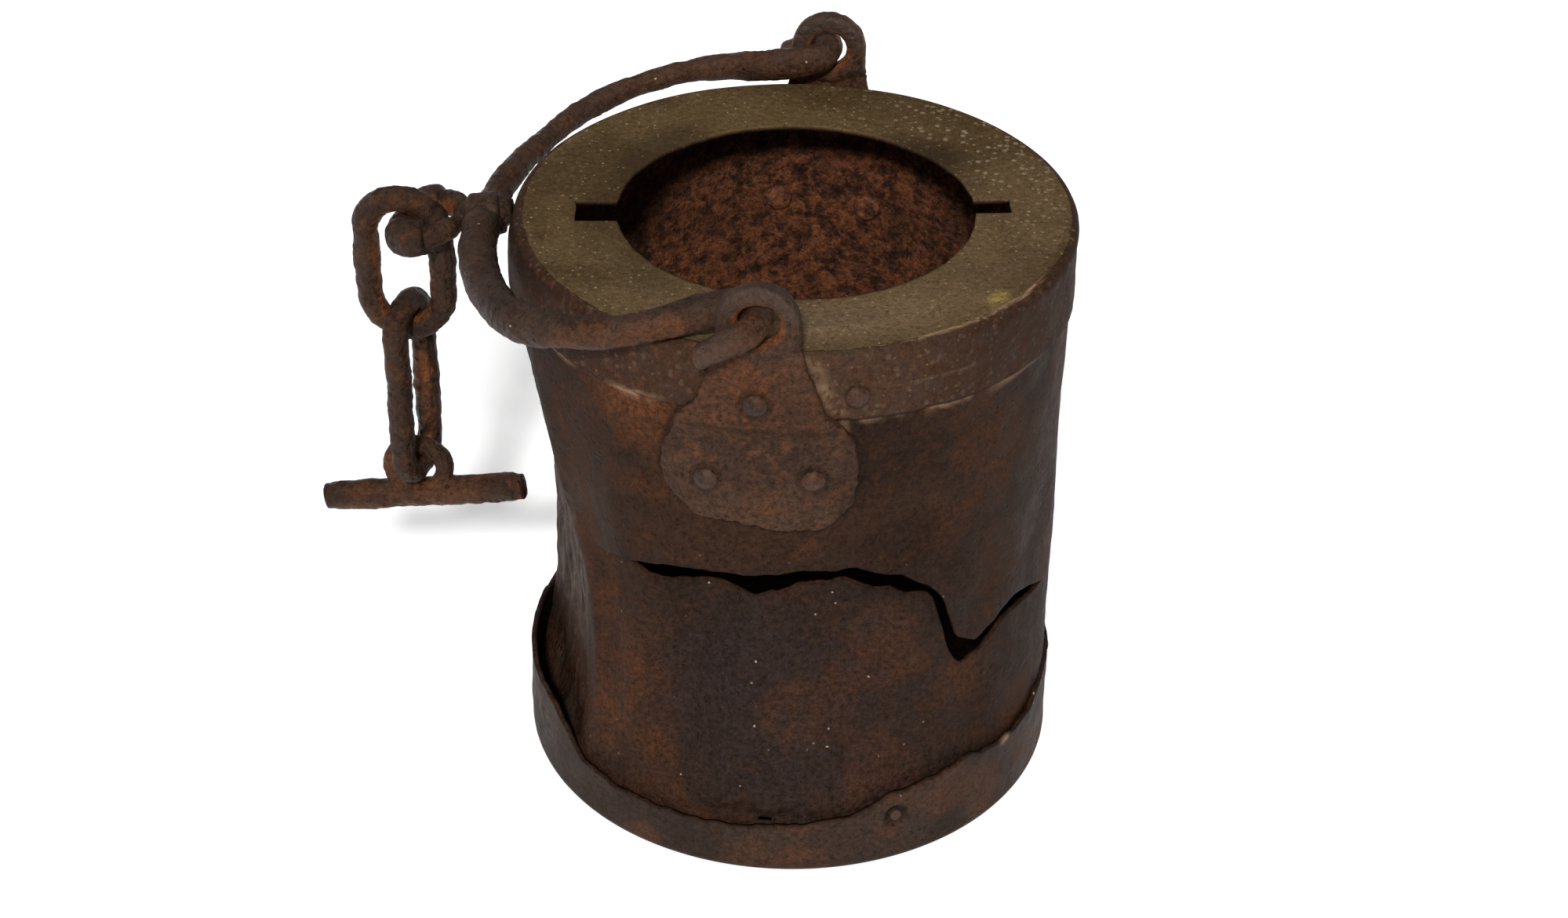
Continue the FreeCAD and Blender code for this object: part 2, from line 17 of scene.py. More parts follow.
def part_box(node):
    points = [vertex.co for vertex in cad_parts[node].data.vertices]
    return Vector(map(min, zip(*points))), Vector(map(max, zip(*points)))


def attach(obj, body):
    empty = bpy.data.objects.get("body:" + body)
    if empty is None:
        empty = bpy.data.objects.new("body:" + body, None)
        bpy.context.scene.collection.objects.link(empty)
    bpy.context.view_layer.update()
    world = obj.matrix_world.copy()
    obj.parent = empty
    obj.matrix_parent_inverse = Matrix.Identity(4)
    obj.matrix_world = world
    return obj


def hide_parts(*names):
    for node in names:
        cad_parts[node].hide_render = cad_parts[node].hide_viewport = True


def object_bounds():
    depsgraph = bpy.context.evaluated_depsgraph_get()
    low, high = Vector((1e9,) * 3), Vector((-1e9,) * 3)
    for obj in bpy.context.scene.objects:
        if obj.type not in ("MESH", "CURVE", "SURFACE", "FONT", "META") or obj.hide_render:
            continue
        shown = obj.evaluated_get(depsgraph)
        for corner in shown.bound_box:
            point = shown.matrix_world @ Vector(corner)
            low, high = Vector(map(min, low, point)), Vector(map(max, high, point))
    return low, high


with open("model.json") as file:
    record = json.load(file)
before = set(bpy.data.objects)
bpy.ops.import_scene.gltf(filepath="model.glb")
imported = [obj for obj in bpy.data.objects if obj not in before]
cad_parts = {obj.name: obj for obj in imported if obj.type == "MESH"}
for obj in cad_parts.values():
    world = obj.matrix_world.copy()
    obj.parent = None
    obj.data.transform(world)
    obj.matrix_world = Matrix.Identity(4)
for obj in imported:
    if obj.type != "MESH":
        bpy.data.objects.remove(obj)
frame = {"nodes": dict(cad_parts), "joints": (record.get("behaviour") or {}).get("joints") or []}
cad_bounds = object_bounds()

MM = 0.001


def in_millimetres(place):
    """A place in metres as millimetres, to a hundredth."""
    return np.round(np.array(place) / MM, 2)


def box_of(node):
    """The lowest and highest corners of a CAD node."""
    low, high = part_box(node)
    return in_millimetres(low), in_millimetres(high)


def joint_place(name):
    return next(in_millimetres(joint["pos_m"]) for joint in frame["joints"] if joint["name"] == name)


# Sizes from the CAD model. The plates' visible faces lie a hair inside those of the CAD model.
HAIR = 0.1
WALL_LOW, WALL_HIGH = box_of("body_shell")
WALL_RADIUS = WALL_HIGH[0]
WALL_FOOT, WALL_HEAD = WALL_LOW[2], WALL_HIGH[2]
PLATE_RADIUS = box_of("bottom_plate")[1][0] - HAIR
TOP = box_of("top_plate")[1][2]
EYE_HEIGHT = joint_place("bail_hinge")[2]
CAD_LOW, CAD_HIGH = np.array(cad_bounds[0]) / MM, np.array(cad_bounds[1]) / MM

# Sizes that the CAD model doesn't give by a box
WALL_THICK = 1.8
PLATE_THICK = 2.0
MOUTH_RADIUS = 64.0
SEAM_ANGLE = 140.0
SLOT_TURN = 9.4
# The slots at the mouth: middle angle, half width and how far from the axis they reach.
SLOTS = ((SLOT_TURN - 90.0, 7.5, 78.6), (SLOT_TURN + 90.0, 5.2, 76.6))
# Angle and height of the wall's hole, the headless rivet, and the front ear's rivets.
HOLE = (1.5, 23.6)
BROKEN_RIVET = (30.0, 22.0)
EAR_RIVETS = ((-0.4, 206.9), (-10.1, 174.1), (10.5, 176.2))

# Camera, matched to the photograph's viewing angle: metres, degrees and lens millimetres
CAMERA_SPOT = (0.10396, -0.91852, 0.73028)
CAMERA_TURN = 6.648
CAMERA_DROP = 33.559
CAMERA_ROLL = 0.801
CAMERA_LENS = 67.66


# Small helpers


def smooth(value, low, high):
    """0 below low, 1 above high, and a soft rise between them."""
    share = np.clip((np.asarray(value, float) - low) / (high - low), 0.0, 1.0)
    return share * share * (3.0 - 2.0 * share)


def fall(value, low, high):
    """1 below low, 0 above high, and a soft fall between them."""
    return smooth(-np.asarray(value, float), -high, -low)


def within(value, foot, rise, drop, end):
    """0 below foot and above end, 1 from rise to drop, and soft between."""
    return smooth(value, foot, rise) * fall(value, drop, end)


def bump(value, centre, half):
    """1 at the centre, falling softly to 0 at half to each side."""
    return 1.0 - smooth(np.abs(np.asarray(value, float) - centre), 0.0, half)


def follow(value, outline):
    """The second coordinate of an outline at the first coordinate's value."""
    return np.interp(value, [point[0] for point in outline], [point[1] for point in outline])


def noise(points, size, octaves=1, seed=0):
    """Smooth noise about 0, mostly within 1, whose largest features are size millimetres."""
    total = np.zeros(len(points))
    strength = 1.0
    for octave in range(octaves):
        spots = points / size * 2.0**octave + seed * 13.7 + octave * 5.3
        corner = np.floor(spots).astype(np.int64)
        part = spots - corner
        part = part * part * part * (part * (part * 6.0 - 15.0) + 10.0)
        value = np.zeros(len(points))
        for step in product((0, 1), repeat=3):
            key = corner + np.array(step) + seed * 101
            mixed = (key[:, 0] * 73856093) ^ (key[:, 1] * 19349663) ^ (key[:, 2] * 83492791)
            mixed = (mixed ^ (mixed >> 13)) * 1274126177 & 0xFFFFFFFF
            level = ((mixed ^ (mixed >> 16)) & 0xFFFF) / 32767.5 - 1.0
            weight = np.prod(np.where(np.array(step) == 1, part, 1.0 - part), axis=1)
            value += weight * level
        total += strength * value
        strength *= 0.5
    return total


def round_points(angles, radii, heights):
    """Points from angles about the axis, radii and heights."""
    turn = np.radians(angles)
    return np.stack([radii * np.sin(turn), -radii * np.cos(turn), heights], axis=-1)


def ring_noise(angles, radius, size, octaves, seed):
    """Noise along a flat ring about the axis."""
    count = len(angles)
    return noise(round_points(angles, np.full(count, radius), np.zeros(count)), size, octaves, seed)


def polar(points):
    """Angle, radius and height of each point."""
    angles = np.degrees(np.arctan2(points[:, 0], -points[:, 1]))
    return angles, np.hypot(points[:, 0], points[:, 1]), points[:, 2]


def distance_round(angles, heights, radius, spot):
    """How far points on a cylinder lie from a spot given by its angle and height."""
    return np.hypot((angles - spot[0]) * math.radians(radius), heights - spot[1])


def read_vectors(mesh, kind):
    """One row of three numbers for each vertex: kind is co or normal."""
    values = np.empty(len(mesh.vertices) * 3)
    mesh.vertices.foreach_get(kind, values)
    return values.reshape(-1, 3)


def read_points(mesh):
    return read_vectors(mesh, "co") / MM


def read_normals(mesh):
    return read_vectors(mesh, "normal")


def facing_out(points, normals):
    """How far each normal points away from the axis, from -1 to 1."""
    radii = np.maximum(np.hypot(points[:, 0], points[:, 1]), 1.0)
    return (points[:, 0] * normals[:, 0] + points[:, 1] * normals[:, 1]) / radii


def write_points(mesh, points):
    mesh.vertices.foreach_set("co", (points * MM).ravel())
    mesh.update()


def add_mask(mesh, name, values):
    """Stores a number from 0 to 1 at each vertex, which the material reads by name."""
    layer = mesh.attributes.new(name, "FLOAT", "POINT")
    layer.data.foreach_set("value", np.clip(values, 0.0, 1.0).astype(np.float32))


def new_object(name, data):
    made = bpy.data.objects.new(name, data)
    bpy.context.scene.collection.objects.link(made)
    return made


def mesh_from(name, points, faces):
    mesh = bpy.data.meshes.new(name)
    mesh.from_pydata((points * MM).tolist(), [], faces)
    mesh.update()
    return new_object(name, mesh)


def apply_modifiers(piece):
    """Turns the piece's modifiers into mesh."""
    graph = bpy.context.evaluated_depsgraph_get()
    mesh = bpy.data.meshes.new_from_object(piece.evaluated_get(graph))
    piece.modifiers.clear()
    old = piece.data
    piece.data = mesh
    bpy.data.meshes.remove(old)


def change_mesh(mesh, change):
    """Runs a change on the mesh as a bmesh."""
    loose = bmesh.new()
    loose.from_mesh(mesh)
    change(loose)
    loose.to_mesh(mesh)
    loose.free()


def solidify(piece, thickness):
    """Gives a sheet its thickness, inward from the side that its normals show."""
    shell = piece.modifiers.new("thickness", "SOLIDIFY")
    shell.thickness = thickness * MM
    shell.offset = -1.0
    shell.use_rim = True
    apply_modifiers(piece)


def finish_piece(piece, node, body, material):
    """Smooth shading, the material, and the piece's place in the frame."""
    piece.data.materials.clear()
    piece.data.materials.append(material)
    piece.data.polygons.foreach_set("use_smooth", [True] * len(piece.data.polygons))
    piece.data.update()
    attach(piece, body)
    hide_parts(node)


# Materials

SPECULAR_TINT = (1.0, 0.62, 0.45, 1.0)
SAND = (0.36, 0.22, 0.13)
PLUM = (0.0190, 0.0128, 0.0116)
ORANGE = (0.135, 0.043, 0.013)
# Rubbed metal, also the colour of painted highlights.
WEAR_AND_HIGHLIGHT = (0.070, 0.050, 0.040)
STONE = (0.36, 0.30, 0.24)
INSIDE_RUST = (0.115, 0.0395, 0.0175)
INSIDE_DARK = (0.022, 0.0110, 0.0080)
BLISTER = (0.014, 0.007, 0.005)
UNLIT = (0.002, 0.0012, 0.001)
OLIVE_DARK, OLIVE_PALE, OLIVE_WARM = (0.062, 0.0375, 0.0150), (0.096, 0.061, 0.0270), (0.075, 0.043, 0.019)
FOLD_BROWN, FOLD_PURPLE = (0.036, 0.0158, 0.0084), (0.034, 0.0174, 0.0124)
FOLD_ORANGE = (0.085, 0.032, 0.0145)
# The colour of the painted highlight on the top plate's face.
OLIVE_HIGHLIGHT = (0.190, 0.125, 0.072)
PALE_BLOTCH, PALE_SPECK, DARK_SPECK = (0.235, 0.185, 0.115), (0.28, 0.215, 0.115), (0.022, 0.013, 0.008)
# The colour of painted shade on the mouth's edge and the flange's sides.
MOUTH_EDGE_SHADE = (0.012, 0.007, 0.005)
YELLOW = (0.33, 0.24, 0.06)
FLOOR_GLOW = 0.32


class Paint:
    """Builds one node material, with every texture in the object's own coordinates."""

    def __init__(self, name):
        self.material = bpy.data.materials.new(name)
        self.material.use_nodes = True
        self.tree = self.material.node_tree
        self.tree.nodes.clear()
        self.place = self.node("ShaderNodeTexCoord").outputs["Object"]

    def node(self, kind, **settings):
        made = self.tree.nodes.new(kind)
        for name, value in settings.items():
            setattr(made, name, value)
        return made

    def feed(self, socket, value):
        """Sets a socket to a number or colour, or links another node's output to it."""
        if isinstance(value, bpy.types.NodeSocket):
            self.tree.links.new(value, socket)
        else:
            socket.default_value = value

    def noise(self, size, detail=4.0, rough=0.6, twist=0.0):
        """Noise from 0 to 1 whose largest features are size millimetres."""
        made = self.node("ShaderNodeTexNoise")
        self.feed(made.inputs["Vector"], self.place)
        self.feed(made.inputs["Scale"], 1.0 / (size * MM))
        self.feed(made.inputs["Detail"], detail)
        self.feed(made.inputs["Roughness"], rough)
        self.feed(made.inputs["Distortion"], twist)
        return made.outputs["Fac"]

    def mask(self, name):
        return self.node("ShaderNodeAttribute", attribute_name=name).outputs["Fac"]

    def span(self, value, low, high, start=0.0, end=1.0):
        """Maps low to high onto start to end, softly, and holds the ends."""
        made = self.node("ShaderNodeMapRange", interpolation_type="SMOOTHSTEP")
        for socket, number in zip(("Value", "From Min", "From Max", "To Min", "To Max"),
                                  (value, low, high, start, end)):
            self.feed(made.inputs[socket], number)
        return made.outputs["Result"]

    def combine(self, kind, values):
        """The values joined one after another by a Math node of that kind."""
        total = values[0]
        for value in values[1:]:
            made = self.node("ShaderNodeMath", operation=kind)
            self.feed(made.inputs[0], total)
            self.feed(made.inputs[1], value)
            total = made.outputs["Value"]
        return total

    def times(self, *values):
        return self.combine("MULTIPLY", values)

    def plus(self, *values):
        return self.combine("ADD", values)

    def spots(self, size, core, rim, few, many, ragged=None, reach=0.0):
        """Scattered spots about size millimetres apart, 1 inside core and 0 outside rim, in shares of size.

        A spot shows when its own random number lies above few, in full above many. ragged is a noise that
        moves the spots' outlines by reach.
        """
        cells = self.node("ShaderNodeTexVoronoi")
        self.feed(cells.inputs["Vector"], self.place)
        self.feed(cells.inputs["Scale"], 1.0 / (size * MM))
        parts = self.node("ShaderNodeSeparateColor")
        self.feed(parts.inputs["Color"], cells.outputs["Color"])
        distance = cells.outputs["Distance"]
        if ragged is not None:
            distance = self.plus(distance, self.times(self.plus(ragged, -0.5), reach))
        chosen = self.span(parts.outputs["Red"], few, many)
        return self.times(self.span(distance, core, rim, 1.0, 0.0), chosen)

    def mix(self, share, first, second, kind="MIX"):
        made = self.node("ShaderNodeMix", data_type="RGBA", blend_type=kind)
        self.feed(made.inputs["Factor"], share)
        for socket, colour in (("A", first), ("B", second)):
            target = next(item for item in made.inputs if item.name == socket and item.type == "RGBA")
            self.feed(target, (*colour, 1.0) if isinstance(colour, tuple) else colour)
        return next(item for item in made.outputs if item.type == "RGBA")

    def finish(self, colour, roughness, metal, height, depth, specular):
        """The surface, with its bump depth in millimetres."""
        shader = self.node("ShaderNodeBsdfPrincipled")
        self.feed(shader.inputs["Base Color"], colour)
        self.feed(shader.inputs["Roughness"], roughness)
        self.feed(shader.inputs["Metallic"], metal)
        shader.inputs["Specular IOR Level"].default_value = specular
        shader.inputs["Specular Tint"].default_value = SPECULAR_TINT
        relief = self.node("ShaderNodeBump")
        self.feed(relief.inputs["Strength"], 1.0)
        self.feed(relief.inputs["Distance"], depth * MM)
        self.feed(relief.inputs["Height"], height)
        self.feed(shader.inputs["Normal"], relief.outputs["Normal"])
        output = self.node("ShaderNodeOutputMaterial")
        self.feed(output.inputs["Surface"], shader.outputs["BSDF"])
        return self.material


def scaly_rust(paint, blotches, scale):
    """The colour inside the bucket: orange scale with dark hollows and blisters."""
    colour = paint.mix(paint.span(scale, 0.38, 0.60), INSIDE_DARK, INSIDE_RUST)
    colour = paint.mix(paint.span(blotches, 0.42, 0.60, 0.0, 0.7), colour, INSIDE_DARK)
    blisters = paint.spots(7.5, 0.18, 0.40, 0.5, 0.6)
    return paint.mix(paint.times(blisters, 0.75), colour, BLISTER)


def rusted_iron(name, dark, brown, warm, warm_low, sheen, rough, depth, speck_share=0.0):
    """Old iron: two browns in blotches, warm rust over them, pits, grain, pale specks, and the masks, which
    also add painted shade and painted highlights.

    warm_low is the level of the patches' noise above which the warm rust shows.
    """
    paint = Paint(name)
    blotches = paint.noise(38.0, 5.0, 0.55, 0.4)
    patches = paint.noise(11.0, 6.0, 0.62, 0.8)
    grain = paint.noise(2.0, 5.0, 0.72)
    fine = paint.noise(0.7, 2.0, 0.6)
    scale = paint.noise(5.0, 6.0, 0.75)
    inside, painted_shade = paint.mask("inside"), paint.mask("dark")

    colour = paint.mix(paint.span(blotches, 0.36, 0.64), dark, brown)
    colour = paint.mix(paint.span(patches, warm_low, warm_low + 0.2, 0.0, 0.75), colour, warm)
    pits = paint.times(paint.spots(2.6, 0.16, 0.42, 0.45, 0.8), paint.span(patches, 0.42, 0.6, 1.0, 0.25))
    colour = paint.mix(paint.times(pits, 0.55), colour, tuple(part * 0.45 for part in dark))
    colour = paint.mix(inside, colour, scaly_rust(paint, blotches, scale))

    plum = paint.times(paint.mask("plum"), paint.span(patches, 0.35, 0.65, 0.95, 0.5))
    colour = paint.mix(plum, colour, PLUM)
    orange = paint.times(paint.mask("orange"), paint.span(patches, 0.30, 0.62, 0.35, 1.0))
    colour = paint.mix(orange, colour, ORANGE)
    # Painted shade: the dark mask darkens the colour where shade falls, and turns it almost black inside the
    # bucket.
    colour = paint.mix(paint.times(painted_shade, 0.8), colour, tuple(part * 0.35 for part in dark))
    colour = paint.mix(paint.times(painted_shade, inside, 0.85), colour, UNLIT)
    shade = paint.plus(paint.times(grain, 0.9), paint.times(fine, 0.35))
    colour = paint.mix(1.0, colour, paint.span(shade, 0.38, 0.86, 0.36, 1.72), "MULTIPLY")

    # Real wear, and painted highlights on the upward faces of the bail and chain and on the crown of the
    # ears' rings.
    worn = paint.times(paint.mask("worn"), paint.span(grain, 0.25, 0.6, 0.4, 1.0))
    colour = paint.mix(worn, colour, WEAR_AND_HIGHLIGHT)
    dust = paint.times(paint.mask("dust"), paint.span(scale, 0.30, 0.52, 0.15, 1.0))
    colour = paint.mix(dust, colour, SAND)
    if speck_share:
        specks = paint.spots(6.5, 0.03, 0.085, 1.0 - speck_share, 1.02 - speck_share, fine, 0.24)
        colour = paint.mix(paint.times(specks, paint.mask("specks")), colour, STONE)

    height = paint.plus(paint.times(grain, 0.8), paint.times(fine, 0.25), paint.times(patches, 1.1),
                        paint.times(pits, -0.5), paint.times(scale, inside, 1.6), paint.times(worn, 0.15))
    roughness = paint.span(paint.plus(grain, patches), 0.7, 1.3, rough - 0.10, rough + 0.14)
    roughness = paint.plus(roughness, paint.times(worn, -0.26), paint.times(inside, 0.12))
    return paint.finish(colour, roughness, paint.times(worn, 0.6), height, depth, sheen)


def olive_coat(name):
    """The top plate: an old olive-brown coat with pale specks and blotches, rusted at its folded edge, with a
    painted highlight on its face and painted shade at the mouth's edge and the flange's sides.
    """
    paint = Paint(name)
    blotches = paint.noise(42.0, 5.0, 0.55, 0.5)
    patches = paint.noise(9.0, 5.0, 0.6, 0.5)
    grain = paint.noise(2.2, 5.0, 0.7)
    fine = paint.noise(0.7, 2.0, 0.6)
    colour = paint.mix(paint.span(blotches, 0.38, 0.62), OLIVE_DARK, OLIVE_PALE)
    colour = paint.mix(paint.span(patches, 0.50, 0.72, 0.0, 0.6), colour, OLIVE_WARM)

    fold_colour = paint.mix(paint.span(patches, 0.40, 0.60), FOLD_PURPLE, FOLD_BROWN)
    rust = paint.span(paint.noise(6.0, 5.0, 0.65), 0.55, 0.72, 0.0, 0.7)
    fold_colour = paint.mix(rust, fold_colour, FOLD_ORANGE)
    ragged_edge = paint.plus(paint.mask("edge"), paint.times(paint.plus(patches, -0.5), 0.9))
    edge = paint.span(ragged_edge, 0.35, 0.65)
    colour = paint.mix(edge, colour, fold_colour)
    # Painted highlight over the front and right of the plate's face.
    colour = paint.mix(paint.mask("painted_highlight"), colour, OLIVE_HIGHLIGHT)

    pale = paint.times(paint.spots(3.3, 0.22, 0.38, 0.25, 0.6, grain, 0.40), paint.mask("pale"))
    colour = paint.mix(paint.times(pale, 0.75), colour, PALE_BLOTCH)
    on_face = paint.span(edge, 0.2, 0.8, 0.9, 0.22)
    specks = paint.times(paint.spots(2.6, 0.10, 0.24, 0.30, 0.62, fine, 0.16), on_face)
    colour = paint.mix(paint.times(specks, 0.9), colour, PALE_SPECK)
    dark_dots = paint.spots(2.3, 0.10, 0.22, 0.55, 0.7)
    colour = paint.mix(paint.times(dark_dots, 0.5), colour, DARK_SPECK)

    shade = paint.span(paint.plus(paint.times(grain, 0.8), paint.times(fine, 0.5)), 0.38, 0.92, 0.55, 1.45)
    colour = paint.mix(1.0, colour, shade, "MULTIPLY")
    # Painted shade on the mouth's edge and along the flange's sides.
    colour = paint.mix(paint.times(paint.mask("dark"), 0.85), colour, MOUTH_EDGE_SHADE)
    colour = paint.mix(paint.mask("inside"), colour, INSIDE_DARK)
    dust = paint.times(paint.mask("dust"), paint.span(paint.noise(4.0, 5.0, 0.65, 0.8), 0.34, 0.52))
    colour = paint.mix(dust, colour, SAND)
    colour = paint.mix(paint.times(paint.mask("yellow"), paint.span(grain, 0.3, 0.6)), colour, YELLOW)

    patch_height = paint.times(patches, paint.span(edge, 0.0, 1.0, 0.5, 1.7))
    height = paint.plus(paint.times(grain, 0.7), paint.times(fine, 0.3), patch_height,
                        paint.times(pale, 0.25), paint.times(dark_dots, -0.3))
    roughness = paint.span(paint.plus(grain, patches), 0.7, 1.3, 0.60, 0.80)
    return paint.finish(colour, roughness, 0.0, height, 0.7, 0.09)


def pale_floor():
    paint = Paint("pale_floor")
    tone = paint.span(paint.noise(60.0, 3.0, 0.5), 0.3, 0.7)
    colour = paint.mix(tone, (0.86, 0.86, 0.86), (0.90, 0.90, 0.90))
    material = paint.finish(colour, 0.9, 0.0, paint.noise(4.0, 2.0, 0.5), 0.02, 0.2)
    shader = next(node for node in material.node_tree.nodes if node.type == "BSDF_PRINCIPLED")
    shader.inputs["Emission Color"].default_value = (1.0, 1.0, 1.0, 1.0)
    shader.inputs["Emission Strength"].default_value = FLOOR_GLOW
    return material


wall_iron = rusted_iron("wall_iron", (0.0160, 0.0085, 0.0058), (0.0245, 0.0118, 0.0068),
                        (0.0370, 0.0152, 0.0070), 0.52, sheen=0.08, rough=0.58, depth=1.0, speck_share=0.5)
plate_iron = rusted_iron("bottom_plate_iron", (0.0185, 0.0115, 0.0088), (0.028, 0.0168, 0.0120),
                         (0.040, 0.0195, 0.0110), 0.55, sheen=0.11, rough=0.56, depth=0.8, speck_share=0.15)
ear_iron = rusted_iron("ear_iron", (0.0245, 0.0132, 0.0090), (0.046, 0.0240, 0.0146),
                       (0.074, 0.0300, 0.0140), 0.48, sheen=0.13, rough=0.52, depth=0.8)
rivet_iron = rusted_iron("rivet_iron", (0.0200, 0.0120, 0.0095), (0.033, 0.0190, 0.0135),
                         (0.045, 0.0215, 0.013), 0.55, sheen=0.26, rough=0.42, depth=0.4)
bail_iron = rusted_iron("bail_iron", (0.0190, 0.0112, 0.0080), (0.031, 0.0185, 0.0120),
                        (0.039, 0.0195, 0.0108), 0.55, sheen=0.20, rough=0.44, depth=0.8, speck_share=0.25)
chain_iron = rusted_iron("chain_iron", (0.0165, 0.0092, 0.0066), (0.029, 0.0148, 0.0092),
                         (0.056, 0.0220, 0.0090), 0.50, sheen=0.22, rough=0.44, depth=1.1)
top_iron = olive_coat("top_plate_iron")


# Wall

# The upper edge of the tear, by angle: the torn sheet above it stands outside the one below.
TEAR_EDGE = ((-180, 118), (-60, 119.5), (-38, 122.4), (-27, 128.5), (-12.6, 132.8), (0, 134.0), (9, 136.2))
TEAR_EDGE += ((20, 135.6), (30, 128.8), (36, 122.0), (39.5, 114.5), (44, 93.5), (49, 88.6), (55, 92.0))
TEAR_EDGE += ((60.5, 96.5), (66, 95.0), (79, 84.5), (120, 96), (180, 118))
TEAR_START, TEAR_END = -39.0, 80.0
# How far the edge of the lower sheet lies below that of the upper one.
TEAR_OPEN = ((-39, 0), (-37, 1.6), (-34, 4.4), (-29, 9.8), (-22, 14.6), (-16.5, 17.2), (-10, 18.0))
TEAR_OPEN += ((-4, 17.8), (4, 17.0), (15, 16.4), (24, 14.0), (33, 10.6), (36, 7.8), (38, 4.5), (41, 1.6))
TEAR_OPEN += ((43.5, 2.6), (45, 9.0), (47, 13.0), (50, 14.6), (55, 14.8), (60.5, 13.0), (66, 9.5))
TEAR_OPEN += ((74, 4.4), (80, 0))
# How far the lower sheet is pushed in along the tear, and how that fades down to the foot.
FRONT_DENT = ((-70, 0), (-52, 5.5), (-44, 6.4), (-34, 8.6), (-26, 11.0), (-16, 13.4), (-6, 14.4), (1, 14.8))
FRONT_DENT += ((10, 14), (20, 12.4), (30, 9.6), (40, 7.6), (52, 6.2), (62, 4.4), (72, 2.0), (82, 0))
FRONT_FADE = ((10, 0), (22, 0.10), (34, 0.26), (50, 0.50), (70, 0.78), (92, 0.95), (110, 1.0), (150, 1.0))
# The flat beaten into the left side: its distance from the axis, by height.
SIDE_FLAT_ANGLE = -71.0
SIDE_FLAT = ((0, 108), (10, 101), (18, 94.0), (28, 88.5), (45, 84.6), (75, 83.0), (100, 84.6), (128, 89.6))
SIDE_FLAT += ((150, 93.6), (175, 97.6), (200, 100.5), (225, 102.5))
# Upright ridges and hollows in the lower front: angle, half width and height outward.
FOLDS = ((-2.5, 9.0, 3.2), (-16.0, 12.0, -4.6), (-29.0, 8.0, 2.2), (-37.0, 7.0, -1.4), (19.0, 13.0, -3.2))
FOLDS += ((34.0, 9.0, 1.6), (52.0, 9.0, -1.0))
# Dents in the upper sheet: angle, half width, height, half height, and how far each stands out.
UPPER_DENTS = ((29, 15, 146, 22, -3.2), (44, 9, 112, 22, 1.2), (71, 12, 112, 34, -2.2))
# How far beyond its round the wall may stand out, and how much further at the lap seam.
WALL_SWELL, SEAM_RISE = 0.9, 1.8
# Rows of points in the sheet below the tear and in the one above it.
LOWER_ROWS, UPPER_ROWS = 66, 52
HOLE_HALF_WIDTH, HOLE_HALF_HEIGHT = 3.6, 1.9
# The front ear's lower edge, by distance to the right, and half its width, by height.
EAR_FOOT_EDGE = ((-34, 172), (-30, 163.6), (-20, 157.8), (0, 155.8), (20, 154.8), (30, 161.8), (34, 172))
EAR_FLANK = ((164, 30), (174, 34.5), (188, 31.5), (199, 27))


def tear_edge(angles):
    """The tear's line with its small jags."""
    jag = ring_noise(angles, 60.0, 3.5, 2, 5)
    return follow(angles, TEAR_EDGE) + 0.7 * jag * within(angles, -38, -34, 70, 78)


def soft_least(first, second, blend):
    """The smaller of two, rounded where they cross."""
    share = np.clip(0.5 + 0.5 * (second - first) / blend, 0.0, 1.0)
    return second * (1 - share) + first * share - blend * share * (1 - share)


def dented(angles, heights, lower):
    """The wall's radius with its large dents and folds. lower is 1 on the sheet below the tear."""
    push = follow(angles, FRONT_DENT) * follow(heights, FRONT_FADE)
    left_share = fall(angles, -46, -30) * fall(heights, 120, 185)
    radii = WALL_RADIUS - push * np.maximum(lower, left_share)
    for middle, half, rise in FOLDS:
        sway = middle + 3.0 * np.sin(heights / 26.0 + middle)
        radii += lower * rise * bump(angles, sway, half) * within(heights, 26, 62, 112, 140)
    for middle, half, height, half_height, rise in UPPER_DENTS:
        radii += (1 - lower) * rise * bump(angles, middle, half) * bump(heights, height, half_height)
    from_flat = angles - SIDE_FLAT_ANGLE
    flat = follow(heights, SIDE_FLAT) / np.cos(np.radians(np.clip(from_flat, -80, 80)))
    return soft_least(radii, np.where(np.abs(from_flat) < 60, flat, 2 * WALL_RADIUS), 1.6)


def wall_radii(angles, heights, lower):
    """The outer radius of the wall: its dents, hammer marks, rough foot and lap seam."""
    radii = dented(angles, heights, lower)
    spots = round_points(angles, np.full(len(angles), WALL_RADIUS), heights)
    calm = within(heights, 8, 30, 185, 205) * (1 - 0.8 * bump(angles, SEAM_ANGLE, 12))
    hammered = within(angles, -112, -95, -52, -44) * fall(heights, 120, 175)
    radii += calm * (0.45 * noise(spots, 34.0, 2, 1) + 0.16 * noise(spots, 8.0, 2, 2))
    radii -= calm * hammered * 1.15 * np.abs(noise(spots * (1.0, 1.0, 0.6), 6.5, 2, 3))
    rough_foot = lower * within(heights, 19, 25, 30, 62) * bump(angles, -8, 44)
    radii -= rough_foot * (2.6 * np.abs(noise(spots, 11.0, 3, 4)) + 0.5 * noise(spots, 3.0, 2, 6))
    seam = fall(np.abs(angles - SEAM_ANGLE), 6.2, 7.0) * within(heights, 40.2, 42, 195, 196.8)
    return np.minimum(radii, WALL_RADIUS + WALL_SWELL * (1 - seam)) + SEAM_RISE * seam


def column_angles(front_count, back_count):
    """Angles of a sheet's columns, closer together over the front half."""
    front = np.linspace(-100, 105, front_count, endpoint=False)
    back = np.linspace(105, 260, back_count, endpoint=False)
    angles = np.r_[front, back]
    return np.where(angles > 180, angles - 360, angles)


def grid_faces(index):
    """Faces of a sheet that closes on itself, whose normals point outward. index holds vertex numbers."""
    rows, columns = index.shape
    faces = []
    for row, column in product(range(rows - 1), range(columns)):
        after = (column + 1) % columns
        corners = (index[row, column], index[row, after], index[row + 1, after], index[row + 1, column])
        faces.append(tuple(int(corner) for corner in corners))
    return faces


